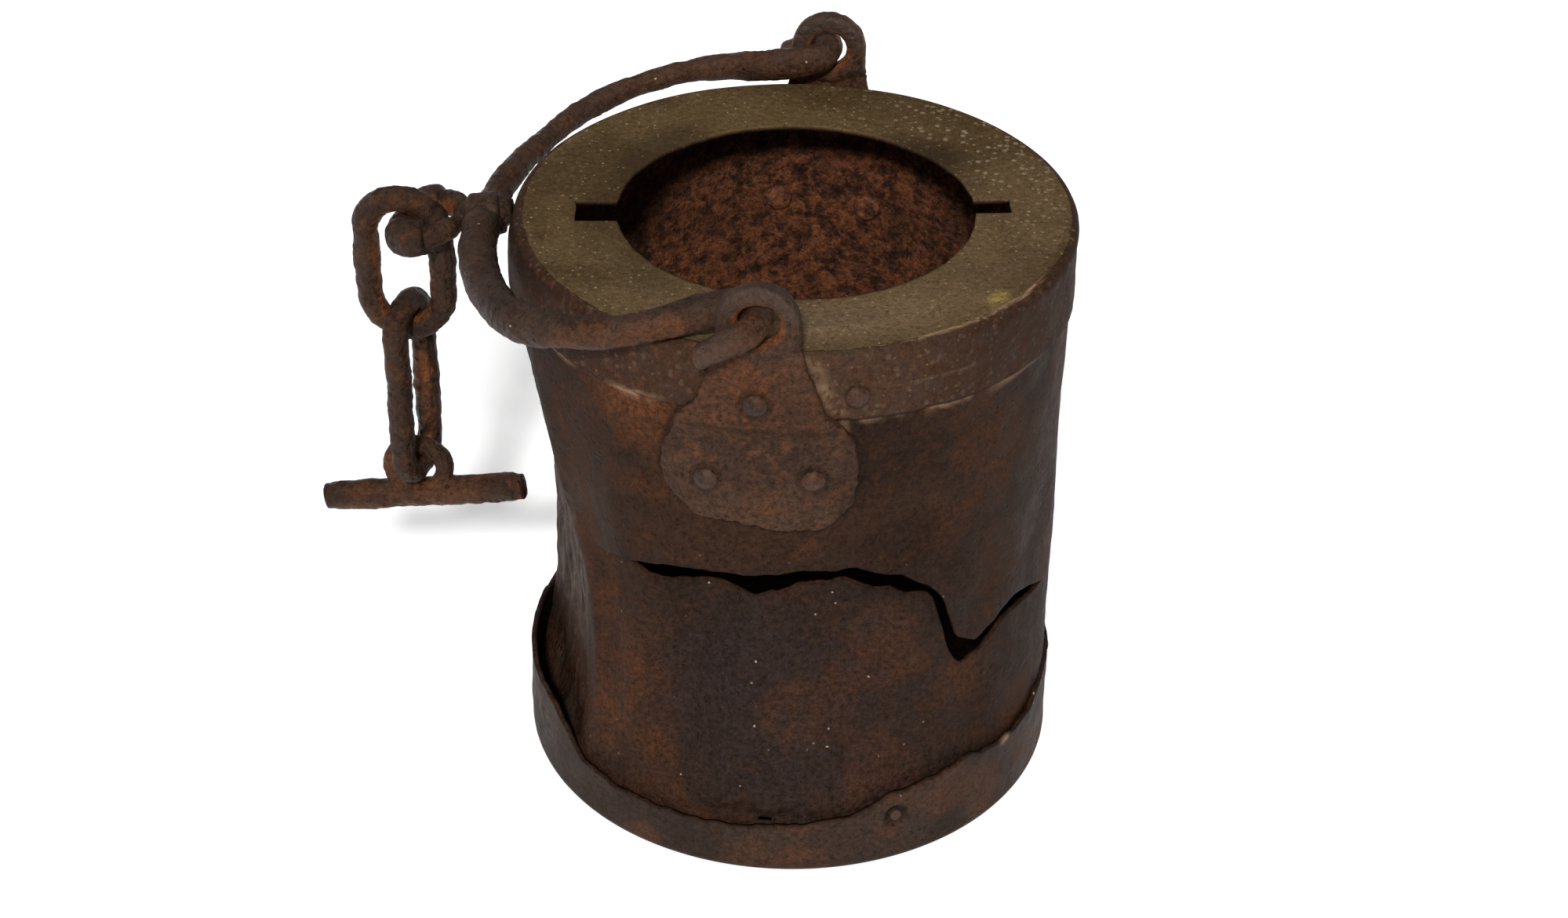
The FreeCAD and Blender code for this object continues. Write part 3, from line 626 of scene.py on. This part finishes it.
def torn_sheet():
    """Points and faces of the wall's outside: two sheets that share their edge except along the tear."""
    angles = column_angles(270, 110)
    columns = len(angles)
    torn = (angles > TEAR_START) & (angles < TEAR_END)
    upper_edge = tear_edge(angles)
    ragged = 0.8 * bump(angles, 0, 36) * ring_noise(angles, 70.0, 5.0, 2, 8)
    lower_edge = upper_edge - np.where(torn, follow(angles, TEAR_OPEN) + ragged, 0.0)
    points = []
    for step in np.linspace(0, 1, LOWER_ROWS):
        heights = WALL_FOOT + (lower_edge - WALL_FOOT) * step
        lower = np.where(torn, 1.0, fall(heights, 118, 125))
        points.append(round_points(angles, wall_radii(angles, heights, lower), heights))
    for step in np.linspace(0, 1, UPPER_ROWS) ** 1.1:
        heights = upper_edge + (WALL_HEAD - upper_edge) * step
        lower = np.where(torn, 0.0, fall(heights, 118, 125))
        points.append(round_points(angles, wall_radii(angles, heights, lower), heights))
    index = np.arange(len(points) * columns).reshape(len(points), columns)
    index[LOWER_ROWS] = np.where(torn, index[LOWER_ROWS], index[LOWER_ROWS - 1])
    return np.concatenate(points), grid_faces(index[:LOWER_ROWS]) + grid_faces(index[LOWER_ROWS:])


def in_hole(points):
    """Which points lie in the ragged hole at the wall's foot."""
    angles, _, heights = polar(points)
    across = (angles - HOLE[0]) * math.radians(WALL_RADIUS)
    ragged = 1.0 + 0.5 * noise(points, 1.8, 2, 9)
    return (across / HOLE_HALF_WIDTH) ** 2 + ((heights - HOLE[1]) / HOLE_HALF_HEIGHT) ** 2 < ragged


def drop_loose_points(loose):
    bmesh.ops.delete(loose, geom=[vertex for vertex in loose.verts if not vertex.link_faces], context="VERTS")


def make_wall():
    points, faces = torn_sheet()
    gone = in_hole(points)
    faces = [face for face in faces if sum(gone[list(face)]) < 3]
    piece = mesh_from("dented_wall", points, faces)
    change_mesh(piece.data, drop_loose_points)
    solidify(piece, WALL_THICK)
    add_wall_masks(piece.data)
    finish_piece(piece, "body_shell", "bucket", wall_iron)


def shadow_beside_front_ear(points):
    """A painted shadow along the line where the front ear's foot and sides meet the wall."""
    side, height = np.abs(points[:, 0]), points[:, 2]
    foot = bump(height - follow(points[:, 0], EAR_FOOT_EDGE), -0.8, 2.4) * (side < 33)
    flank = bump(side - follow(height, EAR_FLANK), 0.6, 1.9) * smooth(height, 166, 170) * (height < 199)
    return np.maximum(foot, flank) * (points[:, 1] < 0)


def add_wall_masks(mesh):
    points, normals = read_points(mesh), read_normals(mesh)
    angles, _, heights = polar(points)
    inner = smooth(-facing_out(points, normals), 0.2, 0.7)
    outer = 1 - inner
    add_mask(mesh, "inside", inner)

    under_flange = bump(heights, follow(angles, TOP_FLANGE_EDGE) - 0.8, 2.6)
    under_flange *= smooth(noise(points, 7.0, 2, 21), -0.6, 0)
    stretches = bump(angles, -47, 6) + bump(angles, -26, 11) + 0.55 * within(angles, 12, 20, 70, 80)
    by_ear = 0.35 * bump(heights, 196, 12) * bump(angles, 16.4, 1.8)
    add_mask(mesh, "dust", np.clip(under_flange * np.clip(stretches, 0, 1) + by_ear, 0, 1) * outer)

    orange = 0.55 * bump(heights, 192, 22) * bump(angles, -24, 22)
    orange += 0.22 * bump(heights, 66, 40) * bump(angles, -34, 18)
    orange += 0.12 * smooth(noise(points, 26.0, 2, 22), 0.1, 0.6)
    add_mask(mesh, "orange", orange * outer)

    # Painted shade: a shadow under the tear's edge, shade in the crack above the foot, a shadow along the
    # front ear's edges, and the wall's inside darkened below the tear.
    shadow_under_tear = bump(heights, follow(angles, TEAR_EDGE) - 9, 12) * within(angles, -36, -20, 26, 36)
    crack = bump(heights, 25.0 + 0.9 * noise(points, 5.0, 2, 23), 1.3) * within(angles, -7, -5, 17, 19)
    outer_shade = np.clip(0.35 * shadow_under_tear + crack + 0.7 * shadow_beside_front_ear(points), 0, 1) * outer
    add_mask(mesh, "dark", outer_shade + inner * fall(heights, 108, 122))

    wander = angles + 10.0 * noise(points, 34.0, 3, 24)
    low_front = 1.15 * fall(heights, 80, 150) * bump(wander, 7, 60) * smooth(heights, 10, 40)
    add_mask(mesh, "plum", np.clip(low_front, 0, 1) * outer)

    side_flat = within(angles, -112, -98, -52, -44) * fall(heights, 120, 165)
    rubbed = smooth(noise(points * (1, 1, 0.6), 6.0, 2, 3), -0.2, 0.4)
    add_mask(mesh, "worn", 0.35 * side_flat * rubbed * outer)
    add_mask(mesh, "specks", fall(heights, 120, 150) * bump(angles, 0, 62) * outer)


# Bottom plate

# The flange's upper edge, by angle: worn low across the front.
FLANGE_EDGE = ((-180, 37), (-75, 37), (-58, 37), (-54, 36), (-50, 31), (-43.5, 23), (-33, 20.9), (-8, 20.7))
FLANGE_EDGE += ((0, 21.6), (11, 23.4), (20, 25.6), (24, 28), (28, 32.4), (37, 33.8), (47, 36.2), (59, 32.5))
FLANGE_EDGE += ((72, 33), (76, 36.6), (90, 37), (180, 37))
BOTTOM_FOLD = 4.5


def plate_rows(centre_rows, fold, fold_rows, flange_rows, edge):
    """Radii and depths of a flanged plate's rows, from the centre rows out over the fold to the edge.

    Depth is counted from the plate's flat face. edge is the depth of the flange's edge at each column.
    """
    columns = len(edge)
    rows = list(centre_rows)
    for turn in np.radians(np.linspace(0, 90, fold_rows)[1:]):
        radius = PLATE_RADIUS - fold + fold * math.sin(turn)
        rows.append((np.full(columns, radius), np.full(columns, fold * (1 - math.cos(turn)))))
    for step in np.linspace(0, 1, flange_rows)[1:]:
        rows.append((np.full(columns, PLATE_RADIUS), fold + (edge - fold) * step))
    return rows


def bottom_points(angles, radii, heights):
    """A row of the bottom plate, with its lumps, the flange leaning out, and the broken rivet's recess."""
    spots = round_points(angles, radii, heights)
    lumps = 0.35 * noise(spots, 22.0, 2, 32) + 0.16 * noise(spots, 6.0, 2, 33) - 0.25
    lean = 0.32 * smooth(heights, 24, 38) * (bump(angles, -62, 22) + bump(angles, 64, 20))
    recess = 1.3 * fall(distance_round(angles, heights, PLATE_RADIUS, BROKEN_RIVET), 3.6, 5.0)
    return round_points(angles, radii + smooth(heights, 1.0, 12.0) * (lumps + lean) - recess, heights)


def make_bottom_plate():
    angles = column_angles(250, 110)
    columns = len(angles)
    edge = follow(angles, FLANGE_EDGE) + 0.7 * ring_noise(angles, 80.0, 4.5, 3, 31)
    disc = [(np.full(columns, radius), np.zeros(columns))
            for radius in np.linspace(2.0, PLATE_RADIUS - BOTTOM_FOLD, 22)]
    rows = plate_rows(disc, BOTTOM_FOLD, 8, 26, edge)
    index = np.arange(len(rows) * columns).reshape(len(rows), columns)
    faces = grid_faces(index)
    centre = index.size
    inmost = [int(corner) for corner in index[0]]
    faces += [(inmost[(column + 1) % columns], inmost[column], centre) for column in range(columns)]
    points = [bottom_points(angles, radii, heights) for radii, heights in rows]
    piece = mesh_from("worn_bottom_plate", np.concatenate(points + [np.zeros((1, 3))]), faces)
    solidify(piece, PLATE_THICK - HAIR)
    add_bottom_masks(piece.data)
    finish_piece(piece, "bottom_plate", "bucket", plate_iron)


def add_bottom_masks(mesh):
    points, normals = read_points(mesh), read_normals(mesh)
    angles, radii, heights = polar(points)
    flange_inside = smooth(-facing_out(points, normals), 0.3, 0.8) * smooth(heights, 3, 6)
    inner = np.maximum(flange_inside, smooth(normals[:, 2], 0.3, 0.8) * (radii < 97))
    outer = 1 - inner
    add_mask(mesh, "inside", inner)
    edge = follow(angles, FLANGE_EDGE)
    recess = fall(distance_round(angles, heights, PLATE_RADIUS, BROKEN_RIVET), 3.4, 5.0)
    # Painted shade at the foot by the floor, in the broken rivet's recess and over the floor inside; also
    # darker along the flange's upper edge.
    outer_shade = 0.25 * fall(heights, 2, 8) + 0.35 * smooth(heights, edge - 2.5, edge) + 0.9 * recess
    add_mask(mesh, "dark", np.maximum(outer_shade * outer, 0.9 * inner))
    add_mask(mesh, "orange", 0.18 * smooth(noise(points, 16.0, 2, 34), 0.0, 0.6))
    add_mask(mesh, "dust", bump(angles, 60.5, 2.6) * bump(heights, 33.5, 4.5) * outer)
    rubbed = smooth(noise(points, 5.0, 2, 35), -0.2, 0.4)
    add_mask(mesh, "worn", 0.4 * bump(angles, -66, 22) * smooth(heights, 14, 30) * rubbed)
    add_mask(mesh, "specks", outer)


# Top plate

# The flange's lower edge, by angle.
TOP_FLANGE_EDGE = ((-180, 198), (-95, 197.5), (-62, 198.5), (-40, 199.4), (-20, 199.6), (0, 199.5))
TOP_FLANGE_EDGE += ((20, 198.6), (40, 198.0), (60, 197.2), (90, 195.8), (120, 197), (180, 198))
TOP_FOLD = 4.0
# The front ear's right edge, by height.
EAR_SIDE = ((198, 27.5), (205, 22.5), (212, 19.5), (221, 16.5), (226, 15.0))


def turn_between(angles, middle):
    """How far angles lie from a middle angle, either way round."""
    return np.abs((angles - middle + 180) % 360 - 180)


def mouth_radii(angles):
    """The mouth's edge: a circle with two straight-sided slots."""
    radii = np.full(len(angles), MOUTH_RADIUS)
    for middle, half_width, reach in SLOTS:
        turn = turn_between(angles, middle)
        side = half_width / np.maximum(np.sin(np.radians(turn)), 1e-4)
        end = reach / np.cos(np.radians(np.minimum(turn, 60)))
        radii = np.where(turn < 30, np.maximum(radii, np.minimum(side, end)), radii)
    return radii


def slotted_angles():
    """The top plate's columns, with a close set along each side of each slot."""
    angles = column_angles(260, 110)
    added = []
    for middle, half_width, reach in SLOTS:
        near = math.degrees(math.asin(half_width / MOUTH_RADIUS))
        far = math.degrees(math.asin(half_width / reach))
        angles = angles[np.abs(turn_between(angles, middle) - (near + far) / 2) >= 1.4]
        for side in (-1, 1):
            added.append(middle + side * np.linspace(far - 0.15, near + 0.15, 10))
    angles = np.sort((np.concatenate([angles] + added) + 100) % 360 - 100)
    return np.where(angles > 180, angles - 360, angles)


def top_points(angles, radii, heights):
    """A row of the top plate: its face dished and uneven, its flange lumpy and flared at the left."""
    spots = round_points(angles, radii, heights)
    dish = 0.4 * noise(spots, 45.0, 2, 43) - 0.5 * fall(radii, 70, 98) - 0.25
    on_side = fall(heights, TOP - 8.0, TOP - 1.0)
    lumps = 0.4 * noise(spots, 20.0, 2, 44) + 0.18 * noise(spots, 6.0, 2, 45) - 0.35
    swell = 0.7 * bump(angles, 42, 30) * bump(heights, 214, 14)
    swell += 2.4 * bump(angles, -88, 52) * fall(heights, TOP - 14, TOP)
    lift = np.where(heights > TOP - 6, dish * (1 - on_side), 0.0)
    return round_points(angles, radii + on_side * (lumps + swell), heights + lift)


def make_top_plate():
    angles = slotted_angles()
    columns = len(angles)
    mouth = mouth_radii(angles) + 0.25 * ring_noise(angles, 70.0, 6.0, 2, 41)
    edge = follow(angles, TOP_FLANGE_EDGE) + 0.45 * ring_noise(angles, 70.0, 4.0, 3, 42)
    reach = PLATE_RADIUS - TOP_FOLD - mouth
    face = [(mouth + reach * step, np.zeros(columns)) for step in np.linspace(0, 1, 34)]
    rows = plate_rows(face, TOP_FOLD, 9, 22, TOP - edge)
    index = np.arange(len(rows) * columns).reshape(len(rows), columns)
    faces = [tuple(reversed(face)) for face in grid_faces(index)]
    points = [top_points(angles, radii, TOP - depths) for radii, depths in rows]
    piece = mesh_from("worn_top_plate", np.concatenate(points), faces)
    solidify(piece, PLATE_THICK - HAIR)
    add_top_masks(piece.data)
    finish_piece(piece, "top_plate", "bucket", top_iron)


def add_top_masks(mesh):
    points, normals = read_points(mesh), read_normals(mesh)
    angles, radii, heights = polar(points)
    flange_inside = smooth(-facing_out(points, normals), 0.4, 0.8) * (heights < TOP - 3)
    add_mask(mesh, "inside", smooth(-normals[:, 2], 0.3, 0.8) + flange_inside)
    fold = smooth(radii, 96.0 - 2.0 * bump(angles, 40, 40), 100.0)
    add_mask(mesh, "edge", fold + 0.35 * bump(radii, 94, 9) * bump(angles, -70, 50))
    # Painted shade: the mouth's edge and underside near it, and the flange darker at the sides, away from the
    # front.
    mouth_edge_shade = fall(heights, TOP - 1.4, TOP - 0.6) * (radii < 82)
    shaded_flange_sides = 0.42 * smooth(np.abs(angles + 2), 30, 58) * smooth(radii, 98, 101)
    add_mask(mesh, "dark", mouth_edge_shade + shaded_flange_sides)
    add_mask(mesh, "pale", np.clip(bump(angles, 128, 62) * 0.95 + 0.15, 0, 1) * smooth(radii, 62, 74))
    # Painted highlight: lighter over the front and the right of the face.
    painted_highlight = 0.65 * bump(angles, 14, 75) * bump(radii, 80, 24) + 0.04 * bump(angles, 10, 40)
    add_mask(mesh, "painted_highlight", painted_highlight + 0.16 * bump(angles, 90, 60) * (radii < 96))

    crack_radius = 97.6 - 0.03 * np.abs(angles - 48) + 0.5 * noise(points, 6.0, 2, 46)
    crack = bump(radii, crack_radius, 0.9) * within(angles, 27, 32, 62, 70) * (heights > TOP - 4)
    lip = bump(heights, follow(angles, TOP_FLANGE_EDGE) + 0.3, 1.0)
    lip *= bump(angles, -47, 6) + bump(angles, -26, 11)
    by_ear = bump(points[:, 0] - follow(heights, EAR_SIDE), 1.5, 4.5) * (points[:, 1] < 0)
    by_ear *= smooth(noise(points, 5.0, 3, 47), -0.6, 0.3) * within(heights, 199, 203, TOP - 6, TOP + 1)
    fine_line = bump(heights, 212 - 0.05 * angles, 0.8) * within(angles, 20, 28, 40, 50)
    add_mask(mesh, "dust", crack * 0.95 + lip * 0.6 + 0.30 * by_ear + 0.10 * fine_line)
    add_mask(mesh, "yellow", bump(angles, 55, 5.0) * bump(radii, 92, 5) * (heights > TOP - 3))


# Forged pieces: the CAD solids with their corners softened and their surface beaten and rusted

RUST_MASKS = ("inside", "orange", "dark", "worn", "dust", "specks")
# How far inside the CAD model's box every point stays.
BOX_MARGIN = 0.02


def weld_points(loose):
    bmesh.ops.remove_doubles(loose, verts=loose.verts, dist=0.002 * MM)


def forged(node, body, material, voxel, soften, lumps, grain, seed, reshape=None, swell=None):
    """A remeshed copy of a CAD node, made uneven. lumps and grain are heights in millimetres.

    swell gives how far each point moves out along its normal, and reshape gives new points.
    """
    piece = new_object("old_" + node, frame["nodes"][node].data.copy())
    change_mesh(piece.data, weld_points)
    remesh = piece.modifiers.new("remesh", "REMESH")
    remesh.mode = "VOXEL"
    remesh.voxel_size = voxel * MM
    soft = piece.modifiers.new("soften", "SMOOTH")
    soft.factor = 0.5
    soft.iterations = soften
    apply_modifiers(piece)
    mesh = piece.data
    points, normals = read_points(mesh), read_normals(mesh)
    height = lumps * noise(points, 11.0, 2, seed) + grain * noise(points, 3.6, 3, seed + 1)
    height -= 1.2 * grain * smooth(np.abs(noise(points, 2.6, 1, seed + 2)), 0.45, 0.8)
    if swell:
        height += swell(points)
    points = points + normals * height[:, None]
    if reshape:
        points = reshape(points)
    write_points(mesh, np.clip(points, CAD_LOW + BOX_MARGIN, CAD_HIGH - BOX_MARGIN))
    finish_piece(piece, node, body, material)
    return piece


def mask_all(mesh, **masks):
    """Adds the given masks, and an empty one for every other name in RUST_MASKS."""
    empty = np.zeros(len(mesh.vertices))
    for name in RUST_MASKS:
        add_mask(mesh, name, masks.get(name, empty))


# Ears

# The eye's round rim: the middle of its section, from the eye's centre and from the bucket's middle plane.
RING_RADIUS, RING_DEPTH = 10.6, 103.0
# How far an ear's foot reaches below that of the CAD model, from left to right.
EAR_DROP = ((-34, 0.0), (-24, 1.2), (-12, 2.4), (0, 3.6), (9, 4.8), (20, 4.6), (27, 2.8), (34, 0.0))
# An ear's neck: half its width in the CAD model and as worn, by height.
NECK_MADE = ((212, 19.0), (221, 15.5), (226.5, 13.9), (229, 10.6), (231, 12.1), (234, 13.5), (238.5, 14.2))
NECK_WORN = ((212, 19.0), (221, 15.9), (226.5, 14.6), (229, 14.2), (231, 14.1), (234, 14.2), (238.5, 14.2))


def filled_neck(points):
    """Fills out the ear's neck below the eye."""
    side, height = points[:, 0], points[:, 2]
    neck = smooth(np.abs(side), 7.5, 10.0) * within(height, 212, 220, 237, 240)
    return side * (1.0 + (follow(height, NECK_WORN) / follow(height, NECK_MADE) - 1.0) * neck)


def squared_rim(points):
    """Moves the eye's round rim out towards the corners of its section."""
    height = points[:, 2]
    from_eye = np.hypot(points[:, 0], height - EYE_HEIGHT)
    out = from_eye - RING_RADIUS
    deep = np.abs(points[:, 1]) - RING_DEPTH
    size = np.maximum(np.hypot(out, deep), 0.01)
    corner = ((np.abs(out) / size) ** 4 + (np.abs(deep) / size) ** 4) ** -0.25
    grow = (corner - 1.0) * 0.8 * fall(from_eye, 14.5, 16) * smooth(height, 229, 236)
    unit = np.stack([points[:, 0], height - EYE_HEIGHT], axis=1) / np.maximum(from_eye, 0.01)[:, None]
    points[:, [0, 2]] += unit * (out * grow)[:, None]
    points[:, 1] += np.sign(points[:, 1]) * deep * grow


def worn_ear(points):
    """Fills out the neck, squares the eye's rim a little, and lowers and chips the plate's outline."""
    points = points.copy()
    side = filled_neck(points)
    points[:, 0] = side
    squared_rim(points)
    points[:, 2] -= follow(side, EAR_DROP) * fall(points[:, 2], 160, 178)
    away = fall(points[:, 2], 205, 226)
    flat = points * (1, 0.2, 1)
    points[:, 0] += away * (1.1 * noise(flat, 9.0, 3, 61) + 0.35 * noise(flat, 2.2, 1, 64))
    points[:, 2] += away * (1.1 * noise(flat, 9.0, 3, 62) + 0.45 * noise(flat, 2.2, 1, 65))
    return points


def make_ears():
    for name, front in (("front", 1), ("rear", -1)):
        piece = forged(f"{name}_ear", "bucket", ear_iron, 0.62, 5, 0.26, 0.18, 63, worn_ear)
        points = read_points(piece.data)
        angles, _, heights = polar(points * (1, front, 1))
        from_eye = np.hypot(points[:, 0], heights - EYE_HEIGHT)
        # The crown of the ring: real wear with a painted highlight.
        crown = within(from_eye, 6.5, 10.0, 13, 16) * smooth(heights, EYE_HEIGHT - 2, EYE_HEIGHT + 7)
        # Painted shade along the bend at height 196 and round the rivet heads, and darker towards the ear's
        # foot.
        crease = bump(heights, 196 - 0.02 * np.abs(points[:, 0]), 2.2)
        for turn, height in EAR_RIVETS:
            from_rivet = distance_round(angles, heights, RING_DEPTH, (front * turn, height))
            crease = np.maximum(crease, bump(from_rivet, 5.2, 1.6))
        orange = bump(from_eye, 7.0, 3.2) + 0.16 * within(heights, 185, 200, 222, 230)
        dark = 0.6 * crease + 0.15 * fall(heights, 165, 185)
        mask_all(piece.data, orange=orange, worn=0.75 * crown, dark=dark)


# Rivets


def make_rivets():
    for node in sorted(name for name in frame["nodes"] if "rivet" in name):
        piece = forged(node, "bucket", rivet_iron, 0.45, 5, 0.22, 0.14, 71)
        points = read_points(piece.data)
        _, radii, _ = polar(points)
        orange = 0.10 * smooth(noise(points, 9.0, 2, 72), -0.2, 0.5)
        mask_all(piece.data, inside=fall(radii, 97.5, 99), orange=orange)


# Bail


def bail_swell(points):
    """Thick at the front arm and by the hooks, thin along the rear arm, drawn out at the hooks' ends."""
    back, across = -points[:, 0], points[:, 1]
    to_side = np.abs(across)
    front_arm = 1.5 * fall(across, -14, 8) * fall(to_side, 90, 99)
    rear_arm = 1.0 * smooth(across, 25, 55) * smooth(back, 38, 60)
    rear_end = 0.6 * smooth(across, 80, 90) * fall(back, 28, 45) * fall(to_side, 94, 99)
    return front_arm - rear_arm + rear_end - 0.2 * smooth(to_side, 99, 110)


def bent_hooks(points):
    """The hooks' ends turned down."""
    points = points.copy()
    tail = smooth(np.abs(points[:, 1]), 104, 108)
    points[:, 2] -= 5.0 * fall(points[:, 0], -21, -5) * tail
    return points


def make_bail():
    piece = forged("bail", "bail", bail_iron, 0.8, 6, 0.42, 0.24, 81, bent_hooks, bail_swell)
    points, normals = read_points(piece.data), read_normals(piece.data)
    to_side = np.abs(points[:, 1])
    orange = 0.10 * smooth(noise(points, 24.0, 2, 82), -0.1, 0.5)
    # Rust at the arms' ends; the rear arm's warmer, lighter colour is painted light from above.
    orange += 0.25 * smooth(to_side, 96, 101) + 0.15 * smooth(points[:, 1], 10, 50)
    # Painted highlight on the upward faces; real wear at the hooks' ends.
    worn = 0.30 * smooth(normals[:, 2], 0.1, 0.9) * smooth(noise(points, 9.0, 2, 83), -0.3, 0.5)
    worn += 0.55 * smooth(to_side, 104, 112) * fall(points[:, 0], -12, 0)
    mask_all(piece.data, orange=orange, worn=worn, specks=np.ones(len(points)))


# Swivel, links and toggle

# How far below level the bail lies.
BAIL_TILT = math.radians(12.5)
# The toggle's bar: its middle, the way it runs, half its length, and the radius of its squared ends.
BAR_MIDDLE = (-142.69, 0.0, 88.91)
BAR_ALONG = (0.99012, 0.01728, 0.13917)
BAR_HALF = 40.0
BLUNT_RADIUS = 5.0


def along_bail(points):
    """How far each point lies from the hinge axis, along the bail towards the middle of its bow."""
    up = points[:, 2] - EYE_HEIGHT
    return -points[:, 0] * math.cos(BAIL_TILT) - up * math.sin(BAIL_TILT)


def thick_swivel(points):
    """Heavy strands, thin where the link hangs and where it comes to rest when it is swung up."""
    out, side = along_bail(points), np.abs(points[:, 1])
    strands = 1.3 * smooth(out, 121.5, 127) * smooth(side, 5, 9)
    waist = 0.7 * bump(out, 126, 6) * fall(side, 4, 7)
    worn_end = 0.5 * smooth(out, 134, 138) * fall(side, 3, 6)
    return strands - waist - worn_end


def wide_swivel(points):
    """The ring drawn out sideways."""
    points = points.copy()
    points[:, 1] *= 1.0 + 0.13 * smooth(along_bail(points), 122, 134)
    return points


def blunt_toggle(points):
    """The bar's round ends squared off."""
    along = (points - BAR_MIDDLE) @ BAR_ALONG
    centre = BAR_MIDDLE + along[:, None] * BAR_ALONG
    around = np.linalg.norm(points - centre, axis=1)
    grow = np.clip(BLUNT_RADIUS / np.maximum(around, 0.5), 1.0, 1.7) - 1.0
    grow *= smooth(np.abs(along), BAR_HALF - 6, BAR_HALF - 3) * smooth(around, 1.2, 3.6)
    return centre + (points - centre) * (1.0 + grow)[:, None]


def make_chain():
    kinds = (("swivel", 91, wide_swivel, thick_swivel), ("upper_link", 94, None, None),
             ("lower_link", 97, None, None), ("toggle", 100, blunt_toggle, None))
    for node, seed, reshape, swell in kinds:
        piece = forged(node, node, chain_iron, 0.55, 6, 0.45, 0.30, seed, reshape, swell)
        points, normals = read_points(piece.data), read_normals(piece.data)
        outward = points - points.mean(axis=0)
        distance = np.maximum(np.linalg.norm(outward, axis=1), 1)
        inner_curve = smooth(-np.sum(outward * normals, axis=1) / distance, 0.1, 0.8)
        if node == "toggle":
            inner_curve = 0.4 * smooth(noise(points, 12.0, 2, seed + 2), 0.0, 0.5)
        # Painted highlight on the upward faces of each link and the toggle.
        highlight_on_top = smooth(normals[:, 2], 0.2, 0.9) * smooth(noise(points, 7.0, 2, seed + 1), -0.2, 0.5)
        mask_all(piece.data, orange=0.8 * inner_curve, worn=0.35 * highlight_on_top * (1 - inner_curve))


# Stage

FLOOR_HALF = 9000.0
# Suns: where each shines from, how wide it is in degrees, and its strength.
SUNS = (("key", (0.03, -1.0, 0.79), 7.0, 3.45), ("rim", (-0.7, 0.5, 1.2), 20.0, 0.2))
SKY_STRENGTH = 0.27


def make_stage():
    corners = np.array([(-1, -1, 0), (1, -1, 0), (1, 1, 0), (-1, 1, 0)])
    floor = mesh_from("floor", FLOOR_HALF * corners, [(0, 1, 2, 3)])
    floor.data.materials.append(pale_floor())

    world = bpy.data.worlds.new("studio")
    world.use_nodes = True
    sky = world.node_tree.nodes["Background"]
    sky.inputs["Color"].default_value = (1.0, 1.0, 1.0, 1.0)
    sky.inputs["Strength"].default_value = SKY_STRENGTH
    bpy.context.scene.world = world

    for name, spot, spread, power in SUNS:
        lamp = bpy.data.lights.new(name, "SUN")
        lamp.angle = math.radians(spread)
        lamp.energy = power
        made = new_object(name, lamp)
        made.rotation_euler = (-Vector(spot)).to_track_quat("-Z", "Y").to_euler()


def make_camera():
    data = bpy.data.cameras.new("camera")
    data.lens = CAMERA_LENS
    data.sensor_width = 36.0
    camera = new_object("camera", data)
    turn = Matrix.Rotation(math.radians(CAMERA_TURN), 4, "Z")
    drop = Matrix.Rotation(math.radians(90.0 - CAMERA_DROP), 4, "X")
    roll = Matrix.Rotation(math.radians(CAMERA_ROLL), 4, "Z")
    camera.matrix_world = Matrix.Translation(CAMERA_SPOT) @ turn @ drop @ roll
    bpy.context.scene.camera = camera


make_camera()
make_stage()
make_wall()
make_bottom_plate()
make_top_plate()
make_ears()
make_rivets()
make_bail()
make_chain()
bpy.context.scene.view_settings.view_transform = "Standard"
